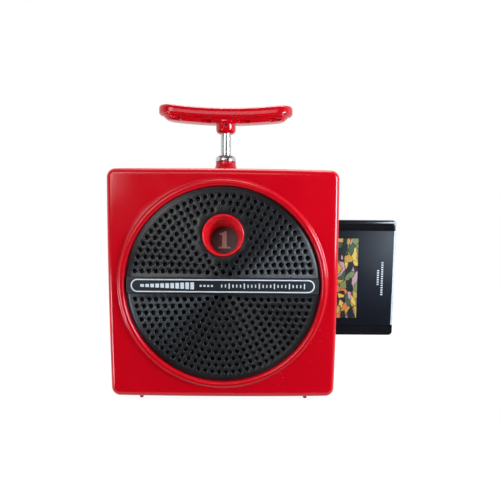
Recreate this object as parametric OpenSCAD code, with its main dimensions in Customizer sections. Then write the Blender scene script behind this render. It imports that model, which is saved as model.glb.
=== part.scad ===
// Portable 8-track tape player with a T-handle plunger, in millimetres.
// X runs to the right, Y away from the viewer and Z up. The front face looks along -Y.
// The modules work from the middle of the case's flat underside, and placed() then moves
// every piece so that the origin is the middle of the whole player's footprint, on the floor.

/* [Case] */
// Width of the square case
case_w = 186; // [176:1:200]
// Height of the case without its feet
case_h = 186; // [182:1:196]
// Depth of the case from front face to back
case_d = 110; // [108:1:122]
// Radius of the four long corners
corner_r = 7; // [5.5:0.5:9]
// Rounding of the front and back edges
edge_r = 4.5; // [3:0.5:5]
// Wall thickness of both shells
wall = 2.6; // [2:0.1:3]
// Depth of the front shell, back to the parting line
front_d = 72; // [70:1:76]
// Width of the reveal groove at the parting line
reveal = 0.6; // [0.4:0.1:1]
// Height of the moulded feet
foot_h = 3.6; // [2:0.2:5]
// Distance of the feet from the middle of the case
foot_x = 69.3; // [55:1:75]

/* [Front ring and grille] */
// Distance from the raised ring to the sides of the case
ring_gap = 8.7; // [7:0.1:10]
// Width of the raised ring
ring_w = 5.2; // [4:0.1:6]
// Height of the ring above the front face
ring_h = 3; // [2:0.1:4]
// Thickness of the grille
grille_t = 2; // [1.6:0.1:2.4]
// Distance from one ring of holes to the next
hole_pitch = 5.5; // [5.2:0.01:5.5]
// Radius of a grille hole
hole_r = 1.5; // [1.2:0.1:1.7]
// Height of the bar across the grille
band_h = 13.7; // [12:0.1:15]
// Thickness of the bar across the grille
band_t = 1.5; // [1:0.1:2]
// Height of the silver outline on the bar
pill_h = 10.6; // [9:0.1:11.5]
// Width of the silver line
pill_line = 1; // [0.8:0.1:1.4]

/* [Program window] */
// Height of the funnel's rim above the middle of the grille
funnel_up = 40.4; // [39:0.1:42]
// Radius of the funnel's rim
funnel_r = 16.6; // [15.5:0.1:17.4]
// Radius of the window at the bottom of the funnel
window_r = 11.1; // [10:0.1:11.6]
// Depth from the rim to the window
funnel_deep = 22; // [20:0.5:22.5]
// How far the window lies below the rim's axis
funnel_drop = 3.7; // [2:0.1:4]

/* [Plunger] */
// Radius of the plunger rod
rod_r = 4.5; // [4:0.1:5]
// Travel of the plunger
stroke = 14; // [8:1:15]
// Height of the collar on top of the case
collar_h = 11.6; // [10:0.2:14]
// Height of the domed ferrule
ferrule_h = 5.4; // [4:0.2:7]
// Bare rod between the ferrule and the handle
rod_bare = 19; // [17:0.5:24]
// Length of the handle
grip_len = 117; // [100:1:126]
// Depth of the handle, front to back
grip_deep = 28; // [26:1:32]
// Height of the handle's rim
grip_h = 8.2; // [8:0.1:10]
// Rise of each end of the handle above its middle
grip_rise = 4.1; // [2:0.1:6]

/* [Cartridge] */
// Length of the cartridge
cart_len = 133.4; // [130:0.1:136]
// Width of the cartridge, upright in the player
cart_w = 101.6; // [98:0.1:103]
// Thickness of the cartridge
cart_t = 20.6; // [19.6:0.1:21.4]
// How far the cartridge stands out of the case
cart_out = 56.4; // [52:0.1:58]
// Depth of the cartridge's face behind the front of the case
cart_back = 38.5; // [38:0.1:39.5]
// Height of the cartridge's middle above the case's middle
cart_up = 3.8; // [2:0.1:5]
// Play all round the cartridge in its guide
cart_play = 0.6; // [0.4:0.05:0.8]

/* [Controls] */
// Travel of each slide control either way
slide_half = 18; // [12:1:20]
// Distance between the two slide controls
slide_gap = 15; // [14:0.5:17]

/* [Hidden] */
$fn = 64;

fit = 0.2;           // clearance between two pieces that are assembled
seat = 0.1;          // gap under a piece that lies on another
run = 0.05;          // radial clearance of a shaft that turns or slides
front_y = -case_d / 2;
back_y = case_d / 2;
part_y = front_y + front_d;
in_x = case_w / 2 - wall;
in_front = front_y + wall;
in_back = back_y - wall;
in_top = case_h - wall;
mid_z = case_h / 2;

// front ring, grille and band
ring_r = min(case_w, case_h) / 2 - ring_gap;
well_r = ring_r - ring_w;
grille_r = well_r - fit;
hole_rim = 5;          // plain rim kept round the grille's edge
hole_rings = floor((grille_r - hole_rim) / hole_pitch);
ledge_w = 5;
ledge_t = 1;
grille_back = in_front - ledge_t - seat;
grille_front = grille_back - grille_t;
band_front = grille_front - band_t;
pill_t = 0.3;
pill_len = 2 * (grille_r - 5.1);
band_r = grille_r - 1.6;
hole_edge = 4.2;       // plain rim kept round the funnel

// funnel, window and number wheel
funnel_z = mid_z + funnel_up;
window_z = funnel_z - funnel_drop;
funnel_front = grille_front - 2;
window_y = funnel_front + funnel_deep;
window_t = 1.5;
funnel_wall = 1;
flange_t = 1;
flange_r = funnel_r + 3.2;
wheel_x = -22;
wheel_y = window_y + window_t + 1.2;
wheel_t = 1.5;
wheel_r = -wheel_x + window_r;

// speaker
baffle_y = in_front + 0.3;
baffle_t = 1.6;
baffle_r = well_r + 1.5;
speaker_r = 46;
speaker_z = funnel_z - funnel_r - 2.4 - speaker_r;
speaker_y = baffle_y + baffle_t;
cone_r = 40;
magnet_r = 23;
magnet_y = front_y + 24.5;
magnet_t = 10;

// cartridge
cart_x1 = case_w / 2 + cart_out;
cart_x0 = cart_x1 - cart_len;
cart_y0 = front_y + cart_back;
cart_y1 = cart_y0 + cart_t;
cart_z = mid_z + cart_up;
cart_z0 = cart_z - cart_w / 2;
cart_z1 = cart_z + cart_w / 2;
cart_wall = 1.6;
reel_x = cart_x0 + 76;
cart_split = cart_y0 + 9;
rail_w = 9.1;
label_deep = 0.5;
label_t = 0.3;
guide_t = 1.3;
guide_x0 = 36;
slot_y0 = cart_y0 - cart_play;
slot_y1 = cart_y1 + cart_play;

// deck: plate, capstan, motor
plate_y = slot_y1 + guide_t + 0.5;
plate_t = 1.5;
plate_back = plate_y + plate_t;
capstan_x = cart_x0 + 2.4;
capstan_z = cart_z0 + 11;
capstan_r = 1.6;
roller_r = 6.4;
roller_bore = 1.3;
roller_x = capstan_x + capstan_r + roller_r + 0.3;
fly_r = 30;
fly_groove = 28.5;
fly_y = plate_back + 3;
fly_t = 8;
belt_y = fly_y + fly_t / 2;
belt_t = 1.6;
motor_r = 15;
motor_x = -case_w / 2 + 17 + motor_r;
motor_z = capstan_z - 17;
motor_len = 32;
pulley_r = 5;
pulley_groove = 3.8;

// plunger stack
plunger_y = front_y + 55;
collar_top = case_h + collar_h;
ferrule_top = collar_top + ferrule_h;
boss_z = ferrule_top + rod_bare;
boss_r = 8.6;
boss_h = 10;
lip = 3;             // the handle's lip hangs this far below grip_z
belly = 3.9;         // the underside bulges this far below the lip
grip_z = boss_z + boss_h + 1.7 + lip;
pin_z = boss_z + 6;
pin_r = 1.2;
bush_r = 6.6;
washer_z = in_top - 5;
washer_t = 2;
pawl_z = window_z + 3.5;
pawl_h = 7;
upper_tab = pawl_z + pawl_h + 10.2;
lower_tab = pawl_z - stroke - 5.8;
tab_t = 1.5;
rod_low = lower_tab - 6;
spring_wire = 1.2;
spring_r = 7.2;
spring_turns = 8;
spring_steps = 14;
spring_sides = 6;
ratchet_r = 9;
ratchet_root = 0.62 * ratchet_r;

// head carriage
cam_y = front_y + 37;
cam_step = 0.8;
arm_y = front_y + 46.1;
arm_t = 1.5;
post_r = 1.5;
arm_low = cart_z - 6;
arm_high = window_z - 3;

// controls on the left side
panel_z0 = 58;
panel_z1 = 148;
panel_y = part_y - 23;
panel_half = 17;
panel_t = 1;
slide_z = (panel_z0 + panel_z1) / 2;
jack_z = 42;           // the earphone socket, with the power socket jack_step below it
jack_step = 16;
jack_nut = 6.2;
jack_cut = 4.2;        // half the square notch in the two shells

// circuit board and batteries
board_y = in_back - 26.4;
board_t = 1.6;
board_x0 = -case_w / 2 + 13;
board_x1 = board_x0 + 132;
board_z1 = case_h - 20;
board_z0 = board_z1 - 74;
post_x = case_w / 2 - 8;
box_t = 1.2;
box_half = post_x - 6;
cell_len = (2 * (box_half - box_t) - 8.6) / 3;
box_z0 = 10;
box_room = 5.6;        // between the flywheel and the battery box
box_y = fly_y + fly_t + box_room;
cell_r = (in_back - 0.6 - box_t - box_y) / 2;
contact_half = cell_r * 8 / 13;
contact_deep = cell_r * 9 / 13;
box_h = 4 * cell_r + 2 * box_t + 1.6;
door_half = box_half - 5;
door_z0 = box_z0 + 2.5;
door_h = box_h - 6;
hinge_y = back_y - 1.2;
hinge_z = door_z0 + 1.2;
hinge_pin = 0.8;
sill_gap = 0.8;      // room under the door for its lower edge to swing
rib = 0.7;           // height of the door's finger ribs
post_low = 12;
post_high = case_h - 12;
plate_post_x = case_w / 2 - 23;
plate_post_high = case_h - 14;

// middle of the whole player's footprint
knob_out = 4.6;
origin_x = (cart_x1 - case_w / 2 - knob_out) / 2;
origin_y = (back_y + rib + front_y - ring_h) / 2;

// Moves a piece from the case's middle to the player's own origin
module placed() {
    translate([-origin_x, -origin_y, foot_h]) children();
}

// Moves a piece of the plunger's stack onto the plunger's axis
module at_plunger() {
    translate([0, plunger_y, 0]) children();
}

// The places of the two sockets, on the parting line of the left side
module at_jacks() {
    for (z = [jack_z, jack_z - jack_step]) translate([0, part_y, z]) children();
}

// ---------- shared shapes ----------

// A cylinder along Y from y0 to y1
module rod_y(x, z, r, y0, y1, fn = 48) {
    translate([x, y0, z]) rotate([-90, 0, 0]) cylinder(r = r, h = y1 - y0, $fn = fn);
}

// A cylinder along X from x0 to x1
module rod_x(y, z, r, x0, x1, fn = 48) {
    translate([x0, y, z]) rotate([0, 90, 0]) cylinder(r = r, h = x1 - x0, $fn = fn);
}

// A cuboid between two corners
module span(a, b) {
    translate(a) cube(b - a);
}

// Quarter-arc points that round an outer edge, from angle a0 to a1
function arc(cx, cy, r, a0, a1, n) = [
    for (i = [0:n]) [cx + r * cos(a0 + (a1 - a0) * i / n), cy + r * sin(a0 + (a1 - a0) * i / n)]
];

// One long corner of the case along Y: open end at y1, rounded end at y0
module corner_post(r, y0, y1, round) {
    len = abs(y1 - y0);
    profile = concat([[0, 0]], arc(r - round, round, round, -90, 0, 7), [[r, len], [0, len]]);
    translate([0, y0, 0])
        rotate([y1 > y0 ? -90 : 90, 0, 0])
            rotate_extrude($fn = 64) polygon(profile);
}

// A box with rounded long corners and one rounded end
module shell_block(w, z0, z1, r, y0, y1, round) {
    hull()
        for (x = [-1, 1], z = [z0 + r, z1 - r])
            translate([x * (w / 2 - r), 0, z]) corner_post(r, y0, y1, round);
}

// The places of the four case screws
module at_case_posts() {
    for (x = [-1, 1], z = [post_low, post_high])
        translate([x * post_x, 0, z]) children();
}

// The places of the four deck screws
module at_plate_posts() {
    for (x = [-1, 1], z = [post_low, plate_post_high])
        translate([x * plate_post_x, 0, z]) children();
}

// A screw along Y with its head at y and its tip at smaller Y
module screw_y(y, len, shank_r = 1.4, head_r = 2.8) {
    difference() {
        union() {
            rod_y(0, 0, head_r, y, y + 1.8, 32);
            rod_y(0, 0, shank_r, y - len, y + 0.1, 24);
        }
        span([-head_r, y + 1.1, -0.4], [head_r, y + 2, 0.4]);
    }
}

// ---------- case ----------

module front_case() {
    color([0.78, 0.02, 0.07])
    difference() {
        union() {
            difference() {
                shell_block(case_w, 0, case_h, corner_r, front_y, part_y - reveal / 2, edge_r);
                shell_block(case_w - 2 * wall, wall, in_top, corner_r - wall, in_front, part_y + 1, 1.5);
            }
            front_ring();
            at_plunger() top_collar();
            front_posts();
            for (x = [-1, 1]) foot(x * foot_x, front_y + 12);
        }
        rod_y(0, mid_z, well_r, front_y - ring_h - 1, in_front - ledge_t, 128);
        rod_y(0, mid_z, well_r - ledge_w, front_y, in_front + 1, 128);
        translate([0, plunger_y, in_top - 1]) cylinder(r = bush_r + fit, h = collar_top - in_top + 2);
        span([in_x - 1, slot_y0, cart_z0 - cart_play], [case_w / 2 + 1, slot_y1, cart_z1 + cart_play]);
        span([-case_w / 2 - 1, panel_y - panel_half - fit, panel_z0 - fit],
             [-in_x + 1, panel_y + panel_half + fit, panel_z1 + fit]);
        at_jacks() jack_notch();
        for (x = [-1, 1], z = [post_low, post_high])
            rod_y(x * post_x, z, 1.45, part_y - 22, part_y + 1, 32);
        for (x = [-1, 1], z = [post_low, plate_post_high])
            rod_y(x * plate_post_x, z, 1.45, plate_y - 14, plate_y + 1, 32);
        at_baffle_screws() rod_y(0, 0, 1.2, front_y + 1.2, in_front + 1, 24);
    }
}

// Square notch in the left wall that the two shells share round a socket
module jack_notch() {
    span([-case_w / 2 - 1, -jack_cut, -jack_cut], [-in_x + 1, jack_cut, jack_cut]);
}

// Raised ring round the grille, round in section
module front_ring() {
    half = ring_w / 2;
    bead = [for (i = [0:10]) [well_r + half - half * cos(18 * i), 0.5 + ring_h * sin(18 * i)]];
    translate([0, front_y + 0.5, mid_z])
        rotate([90, 0, 0])
            rotate_extrude($fn = 128)
                polygon(concat([[well_r - 0.5, -1.5]], bead, [[ring_r, -1.5]]));
}

// Flared collar that carries the plunger's bushing
module top_collar() {
    profile = concat([[0, in_top]], [[15, in_top], [15, case_h]],
        [for (a = [0:15:75]) [10.6 + 4.4 * (1 - sin(a)), case_h + 4.4 * (1 - cos(a))]],
        [[9.6, collar_top], [0, collar_top]]);
    rotate_extrude() polygon(profile);
}

// Screw posts that stand on the inside of the front face
module front_posts() {
    for (x = [-1, 1], z = [post_low, post_high]) {
        rod_y(x * post_x, z, 4, in_front - 0.5, part_y - 0.4);
        span([x > 0 ? post_x : -in_x - 0.5, in_front - 0.5, z - 1],
             [x > 0 ? in_x + 0.5 : -post_x, part_y - 8, z + 1]);
    }
    for (x = [-1, 1], z = [post_low, plate_post_high])
        rod_y(x * plate_post_x, z, 4, in_front - 0.5, plate_y);
}

// Moulded foot under the case
module foot(x, y) {
    translate([x, y, -foot_h]) cylinder(r1 = 1.4, r2 = 2.4, h = foot_h + 0.5, $fn = 32);
}

module rear_case() {
    color([0.74, 0.02, 0.06])
    difference() {
        union() {
            difference() {
                shell_block(case_w, 0, case_h, corner_r, back_y, part_y + reveal / 2, edge_r);
                shell_block(case_w - 2 * wall, wall, in_top, corner_r - wall, in_back, part_y - 1, 1.5);
            }
            rear_tongue();
            for (x = [-1, 1], z = [post_low, post_high]) rod_y(x * post_x, z, 4, part_y, in_back + 0.5);
            for (x = [-1, 1]) foot(x * foot_x, back_y - 12);
        }
        for (x = [-1, 1], z = [post_low, post_high]) {
            rod_y(x * post_x, z, 1.7, part_y - 1, back_y, 32);
            rod_y(x * post_x, z, 3.2, part_y + 14, back_y + 1, 32);
        }
        door_cut();
        vents();
        at_jacks() jack_notch();
    }
}

// Tongue inside the front shell that lines up the two halves
module rear_tongue() {
    tongue = 3;
    inset = wall + fit + 1.2;
    root = part_y + reveal / 2;
    difference() {
        union() {
            shell_block(case_w - 2 * (wall + fit), wall + fit, in_top - fit, corner_r - wall - fit,
                part_y - tongue, root + 1, 0.2);
            shell_block(case_w - 2 * wall + 1, wall - 0.5, in_top + 0.5, corner_r - wall + 0.5,
                root, root + 2, 0.01);
        }
        shell_block(case_w - 2 * inset, inset, case_h - inset, 2.4, part_y - tongue - 1, root + 3, 0.2);
        for (x = [-1, 1], z = [post_low, post_high]) {
            rod_y(x * post_x, z, 4 + fit, part_y - tongue - 1, part_y - 0.2);
            span([x > 0 ? post_x : -in_x - 1, part_y - tongue - 1, z - 2],
                 [x > 0 ? in_x + 1 : -post_x, part_y - 0.2, z + 2]);
        }
        at_jacks()
            span([-in_x - 1, -jack_nut - fit, -jack_nut - fit], [-in_x + 2, jack_nut + fit, jack_nut + fit]);
    }
}

// Opening of the battery door, with the holes for its hinge pins
module door_cut() {
    span([-door_half - fit, in_back - 1, door_z0 - sill_gap],
         [door_half + fit, back_y + 1, door_z0 + door_h + fit]);
    rod_x(hinge_y, hinge_z, hinge_pin + run, -door_half - 2.4, door_half + 2.4, 32);
}

// Slots in the back that let the speaker breathe
module vents() {
    for (i = [0:6], x = [-1, 1])
        span([x * 34 - 22, in_back - 1, 108 + 7 * i], [x * 34 + 22, back_y + 1, 110.4 + 7 * i]);
}

// ---------- grille and band ----------

module grille() {
    color([0.11, 0.11, 0.12])
    translate([0, grille_back, mid_z]) rotate([90, 0, 0])
        difference() {
            union() {
                cylinder(r = grille_r, h = grille_t - 0.8, $fn = 128);
                translate([0, 0, grille_t - 0.8])
                    cylinder(r1 = grille_r, r2 = grille_r - 0.8, h = 0.8, $fn = 128);
            }
            translate([0, 0, -1])
                linear_extrude(grille_t + 2)
                    grille_holes();
        }
}

// Rings of holes, left out under the bar and round the funnel
module grille_holes() {
    for (k = [1:hole_rings], j = [0:6 * k - 1]) {
        p = k * hole_pitch * [cos(60 * j / k), sin(60 * j / k)];
        if (abs(p.y) > band_h / 2 + 1 && norm(p - [0, funnel_up]) > funnel_r + hole_edge)
            translate(p) circle(r = hole_r, $fn = 20);
    }
    translate([0, funnel_up]) circle(r = funnel_r + 0.8, $fn = 64);
}

module name_band() {
    color([0.05, 0.05, 0.06])
    intersection() {
        rod_y(0, mid_z, band_r, band_front, grille_front, 128);
        span([-case_w, band_front - 1, mid_z - band_h / 2], [case_w, front_y, mid_z + band_h / 2]);
    }
}

// A flat shape with half-round ends, extruded towards -Y
module pill(len, h, y, t) {
    translate([0, y, mid_z]) rotate([90, 0, 0])
        linear_extrude(t) {
            square([len - h, h], center = true);
            for (x = [-1, 1]) translate([x * (len - h) / 2, 0]) circle(d = h, $fn = 48);
        }
}

module band_outline() {
    color([0.82, 0.83, 0.85])
    difference() {
        pill(pill_len, pill_h, band_front, pill_t);
        pill(pill_len - 2 * pill_line, pill_h - 2 * pill_line, band_front + 1, pill_t + 2);
    }
}

// ---------- program window ----------

// Slanting cone between the rim and the window
module slant_cone(r_front, r_back, y0, y1) {
    hull() {
        rod_y(0, funnel_z, r_front, y0, y0 + 0.2, 64);
        rod_y(0, window_z, r_back, y1 - 0.2, y1, 64);
    }
}

module indicator_funnel() {
    back = window_y + window_t;
    color([0.8, 0.03, 0.08])
    difference() {
        union() {
            rod_y(0, funnel_z, funnel_r, funnel_front + 0.6, grille_back + 0.4 + flange_t, 96);
            translate([0, funnel_front + 0.6, funnel_z]) rotate([90, 0, 0])
                rotate_extrude($fn = 96)
                    polygon(concat([[funnel_r - 1.2, -1]], arc(funnel_r - 0.6, 0, 0.6, 180, 0, 8),
                        [[funnel_r, -1]]));
            rod_y(0, funnel_z, flange_r, grille_back + 0.2, grille_back + 0.2 + flange_t, 64);
            slant_cone(funnel_r - 1, window_r + 2 * funnel_wall, grille_back + 0.2, back);
        }
        slant_cone(funnel_r - 1.2, window_r, funnel_front - 0.3, window_y);
        rod_y(0, window_z, window_r, window_y - 0.5, back + 1, 64);
        rod_y(0, window_z, window_r + funnel_wall, window_y, back + 1, 64);
    }
}

module indicator_lens() {
    color([0.75, 0.78, 0.8, 0.5])
    rod_y(0, window_z, window_r + funnel_wall - run, window_y, window_y + window_t, 64);
}

// ---------- speaker ----------

module speaker_baffle() {
    color([0.07, 0.07, 0.07])
    difference() {
        rod_y(0, mid_z, baffle_r + 2.5, baffle_y, baffle_y + baffle_t, 96);
        rod_y(0, speaker_z, cone_r + 1, baffle_y - 1, baffle_y + baffle_t + 1, 64);
        rod_y(0, funnel_z - 0.5, funnel_r + 1.4, baffle_y - 1, baffle_y + baffle_t + 1, 64);
        at_baffle_screws() rod_y(0, 0, 1.4, baffle_y - 1, baffle_y + baffle_t + 1, 24);
        at_speaker_screws() rod_y(0, 0, 1.1, baffle_y - 1, baffle_y + baffle_t + 1, 24);
    }
}

// The places of the screws that hold the baffle
module at_baffle_screws() {
    for (a = [30:60:330])
        translate([baffle_r * cos(a), 0, mid_z + baffle_r * sin(a)]) children();
}

// The places of the screws that hold the speaker
module at_speaker_screws() {
    for (a = [45:90:315])
        translate([(speaker_r - 2.2) * cos(a), 0, speaker_z + (speaker_r - 2.2) * sin(a)]) children();
}

module speaker_frame() {
    color([0.55, 0.55, 0.58])
    translate([0, speaker_y, speaker_z]) rotate([-90, 0, 0])
        difference() {
            rotate_extrude()
                polygon([[cone_r + 0.5, 0.1], [speaker_r, 0.1], [speaker_r, 1.3], [cone_r + 1.5, 1.3],
                    [magnet_r + 4, magnet_y - speaker_y - 1.2], [magnet_r + 2, magnet_y - speaker_y],
                    [8, magnet_y - speaker_y], [8, magnet_y - speaker_y - 1.2],
                    [magnet_r + 1.6, magnet_y - speaker_y - 1.2], [cone_r + 0.5, 1.3]]);
            for (a = [45:90:315])
                rotate(a) translate([speaker_r - 2.2, 0, -1]) cylinder(r = 1.5, h = 4, $fn = 24);
            for (a = [0:90:270])
                rotate(a)
                    translate([magnet_r + 8.5, 0, magnet_y - speaker_y - 9])
                        cube([9, 14, 12], center = true);
        }
}

module speaker_cone() {
    deep = magnet_y - speaker_y - 4;
    color([0.09, 0.09, 0.09])
    translate([0, speaker_y, speaker_z]) rotate([-90, 0, 0])
        rotate_extrude()
            polygon([[0, deep - 3.4], [5, deep - 2.6], [9, deep], [35.4, 2.2], [37.4, 0.6],
                [cone_r + 0.4, 0.6], [cone_r + 0.4, 1.2], [37.8, 1.2], [36, 2.8],
                [9.4, deep + 0.8], [7.4, deep + 0.8],
                [7.4, deep + 2.4], [6.6, deep + 2.4], [6.6, deep], [4.6, deep - 1.8], [0, deep - 2.6]]);
}

module speaker_magnet() {
    color([0.25, 0.25, 0.27]) {
        difference() {
            rod_y(0, speaker_z, magnet_r, magnet_y + 0.1, magnet_y + magnet_t, 64);
            rod_y(0, speaker_z, 8.4, magnet_y - 1, magnet_y + 3, 48);
        }
    }
}

module speaker_screws() {
    color([0.7, 0.7, 0.7])
    at_speaker_screws() screw_y(speaker_y + 1.4, 3.6, 0.95, 2);
    color([0.7, 0.7, 0.7])
    at_baffle_screws() screw_y(baffle_y + baffle_t + seat, 2.6, 1.1, 2.2);
}

// ---------- deck ----------

module chassis_plate() {
    color([0.72, 0.72, 0.7])
    difference() {
        span([motor_x - motor_r, plate_y, 6], [in_x - 4.4, plate_back, case_h - 8]);
        at_plate_posts() rod_y(0, 0, 1.6, plate_y - 1, plate_back + 1, 24);
        rod_y(capstan_x, capstan_z, 4.55, plate_y - 1, plate_back + 1);
        rod_y(motor_x, motor_z, 4, plate_y - 1, plate_back + 1);
        rod_y(wheel_x, window_z, 2.05, plate_y - 1, plate_back + 1, 32);
        for (x = [-1, 1], z = [post_low, post_high])
            rod_y(x * post_x, z, 5, plate_y - 1, plate_back + 1, 24);
        pawl_window();
        span([-9, plate_y - 1, upper_tab], [9, plate_back + 1, case_h]);
        span([20, plate_y - 1, cart_z - 30], [80, plate_back + 1, cart_z - 12]);
        span([-60, plate_y - 1, 60], [-30, plate_back + 1, 84]);
    }
}

module cartridge_guide() {
    x1 = in_x - 0.2;
    color([0.1, 0.1, 0.1]) {
        difference() {
            span([guide_x0, slot_y0 - guide_t, cart_z0 - cart_play - guide_t],
                 [x1, slot_y1 + guide_t, cart_z1 + cart_play + guide_t]);
            span([guide_x0 - 1, slot_y0, cart_z0 - cart_play], [x1 + 1, slot_y1, cart_z1 + cart_play]);
            span([guide_x0 - 1, slot_y0 - guide_t - 1, cart_z0 + 22], [x1 - 12, slot_y0 + 1, cart_z1 - 22]);
            span([guide_x0 - 1, slot_y1 - 1, cart_z0 + 26], [x1 - 14, slot_y1 + guide_t + 1, cart_z1 - 26]);
        }
        for (z = [cart_z0 + 12, cart_z1 - 12])
            span([guide_x0 + 4, slot_y1 + guide_t - 0.05, z - 4], [guide_x0 + 14, plate_y, z + 4]);
    }
}

module motor() {
    color([0.6, 0.6, 0.62])
    difference() {
        union() {
            rod_y(motor_x, motor_z, motor_r, plate_y - motor_len, plate_y);
            rod_y(motor_x, motor_z, 3.8, plate_y - 1, plate_back + 0.6);
        }
        rod_y(motor_x, motor_z, 1 + run, plate_y - 8, plate_back + 2, 32);
    }
}

module motor_pulley() {
    color([0.8, 0.7, 0.35]) {
        rod_y(motor_x, motor_z, 1, plate_y - 6, belt_y + 3.4, 32);
        translate([motor_x, belt_y, motor_z]) rotate([-90, 0, 0])
            rotate_extrude()
                polygon([[0.5, -3], [pulley_r, -3], [pulley_r, -2], [pulley_groove, -1], [pulley_groove, 1],
                    [pulley_r, 2], [pulley_r, 3], [0.5, 3]]);
    }
}

module flywheel() {
    color([0.5, 0.5, 0.52])
    translate([capstan_x, belt_y, capstan_z]) rotate([-90, 0, 0])
        rotate_extrude($fn = 96)
            polygon([[capstan_r, -fly_t / 2], [6, -fly_t / 2], [6, -1.5], [22, -1.5],
                [22, -fly_t / 2], [fly_r, -fly_t / 2], [fly_r, -1.6], [fly_groove, -1.2],
                [fly_groove, 1.2], [fly_r, 1.6], [fly_r, fly_t / 2], [22, fly_t / 2],
                [22, 1.5], [6, 1.5], [6, fly_t / 2], [capstan_r, fly_t / 2]]);
}

module capstan_shaft() {
    color([0.85, 0.85, 0.87])
    rod_y(capstan_x, capstan_z, capstan_r, cart_y0 + 3, fly_y + fly_t + 0.6, 32);
}

module capstan_bearing() {
    color([0.72, 0.55, 0.25])
    difference() {
        union() {
            rod_y(capstan_x, capstan_z, 4.5, cart_y1 + 0.6, fly_y - 0.4);
            rod_y(capstan_x, capstan_z, 6.5, plate_back + seat, plate_back + 1);
        }
        rod_y(capstan_x, capstan_z, capstan_r + run, cart_y1 - 1, fly_y + 1, 32);
    }
}

// Loop of the belt at a given distance from the grooves
module belt_loop(gap, t) {
    hull() {
        rod_y(motor_x, motor_z, pulley_groove + gap, belt_y - t / 2, belt_y + t / 2, 32);
        rod_y(capstan_x, capstan_z, fly_groove + gap, belt_y - t / 2, belt_y + t / 2, 96);
    }
}

module drive_belt() {
    color([0.06, 0.06, 0.06])
    difference() {
        belt_loop(0.25 + belt_t, belt_t);
        belt_loop(0.25, belt_t + 2);
    }
}

// ---------- head and program change ----------

module head_carriage() {
    color([0.75, 0.75, 0.72])
    difference() {
        union() {
            span([-28, arm_y, arm_low], [cart_x0 - 7, arm_y + arm_t, arm_low + 10]);
            span([-28, arm_y, arm_low], [-18, arm_y + arm_t, arm_high]);
            span([cart_x0 - 8.4, arm_y, arm_low - 1], [cart_x0 - 7, arm_y + 8, arm_low + 12]);
            rod_y(wheel_x, window_z - 6, 1.2, cam_y + 4 + 3 * cam_step + 0.3, arm_y + 0.1, 24);
        }
        for (x = [-24, -11]) rod_y(x, arm_low + 5, post_r + run, arm_y - 1, arm_y + arm_t + 1, 32);
    }
}

module tape_head() {
    color([0.82, 0.82, 0.8])
    span([cart_x0 - 6.9, arm_y - 1, arm_low], [cart_x0 + 0.7, arm_y + 7, arm_low + 11]);
}

module guide_posts() {
    color([0.8, 0.8, 0.82])
    for (x = [-24, -11]) rod_y(x, arm_low + 5, post_r, arm_y - 5, plate_y, 32);
}

module program_shaft() {
    color([0.8, 0.8, 0.82])
    rod_y(wheel_x, window_z, 2, wheel_y - 1, plate_back + 2, 32);
}

module number_wheel() {
    color([0.2, 0.2, 0.21])
    difference() {
        union() {
            rod_y(wheel_x, window_z, wheel_r, wheel_y, wheel_y + wheel_t, 96);
            rod_y(wheel_x, window_z, 5, wheel_y + wheel_t - 0.1, wheel_y + wheel_t + 2.4);
        }
        rod_y(wheel_x, window_z, 2 + 0.02, wheel_y - 1, wheel_y + 6, 32);
    }
}

module ratchet_wheel() {
    color([0.85, 0.83, 0.75])
    difference() {
        translate([wheel_x, plunger_y + 2, window_z]) rotate([90, 0, 0])
            linear_extrude(4)
                polygon([for (q = [0:3], s = [0, 1])
                    let (a = 90 * q + 80 * s, r = s == 0 ? ratchet_r : ratchet_root)
                    [r * cos(a), r * sin(a)]]);
        rod_y(wheel_x, window_z, 2 + 0.02, plunger_y - 3, plunger_y + 3, 32);
    }
}

module step_cam() {
    color([0.85, 0.83, 0.75])
    difference() {
        union() {
            rod_y(wheel_x, window_z, ratchet_r, cam_y, cam_y + 4);
            for (q = [1:3])
                intersection() {
                    rod_y(wheel_x, window_z, ratchet_r, cam_y, cam_y + 4 + q * cam_step);
                    translate([wheel_x, 0, window_z]) rotate([0, 90 * q - 45, 0])
                        span([-ratchet_r * 0.98, cam_y, -20], [0, cam_y + 9, 0]);
                }
        }
        rod_y(wheel_x, window_z, 2 + 0.02, cam_y - 1, cam_y + 9, 32);
    }
}

module mechanism_bracket() {
    ear_y = wheel_y + 6.2;
    x0 = wheel_x - ratchet_r - 9;
    color([0.72, 0.72, 0.7])
    difference() {
        union() {
            span([x0, ear_y, window_z - 14], [x0 + 1.5, plate_y, window_z + 14]);
            span([x0, ear_y, window_z - 14], [wheel_x + 8, ear_y + 1.5, window_z + 14]);
            span([x0 - 9, plate_y - 1.5, window_z - 14], [x0 + 1.5, plate_y, window_z + 14]);
        }
        rod_y(wheel_x, window_z, 2 + run, ear_y - 1, ear_y + 3, 32);
    }
}

module plunger_bracket() {
    color([0.72, 0.72, 0.7])
    difference() {
        union() {
            span([-14, plate_y - tab_t, lower_tab - 4], [14, plate_y, upper_tab]);
            for (z = [upper_tab, lower_tab]) span([-9, plunger_y - 9, z - tab_t], [9, plate_y, z]);
        }
        translate([0, plunger_y, lower_tab - 5])
            cylinder(r = rod_r + run, h = upper_tab - lower_tab + 10);
        pawl_window();
    }
}

// Room for the pawl's hub in the bracket and the plate
module pawl_window() {
    span([-7.6, plate_y - tab_t - 1, lower_tab + 3], [7.6, plate_back + 1, upper_tab - 4.5]);
}

module pawl_arm() {
    color([0.8, 0.8, 0.78])
    difference() {
        union() {
            translate([0, 0, pawl_z]) cylinder(r = rod_r + 2.2, h = pawl_h, $fn = 48);
            span([wheel_x + ratchet_r + 0.7, -1.8, pawl_z], [-rod_r - 0.8, 1.8, pawl_z + 3]);
        }
        translate([0, 0, pawl_z - 1]) cylinder(r = rod_r + 0.02, h = pawl_h + 2);
    }
}

// ---------- plunger ----------

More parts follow.
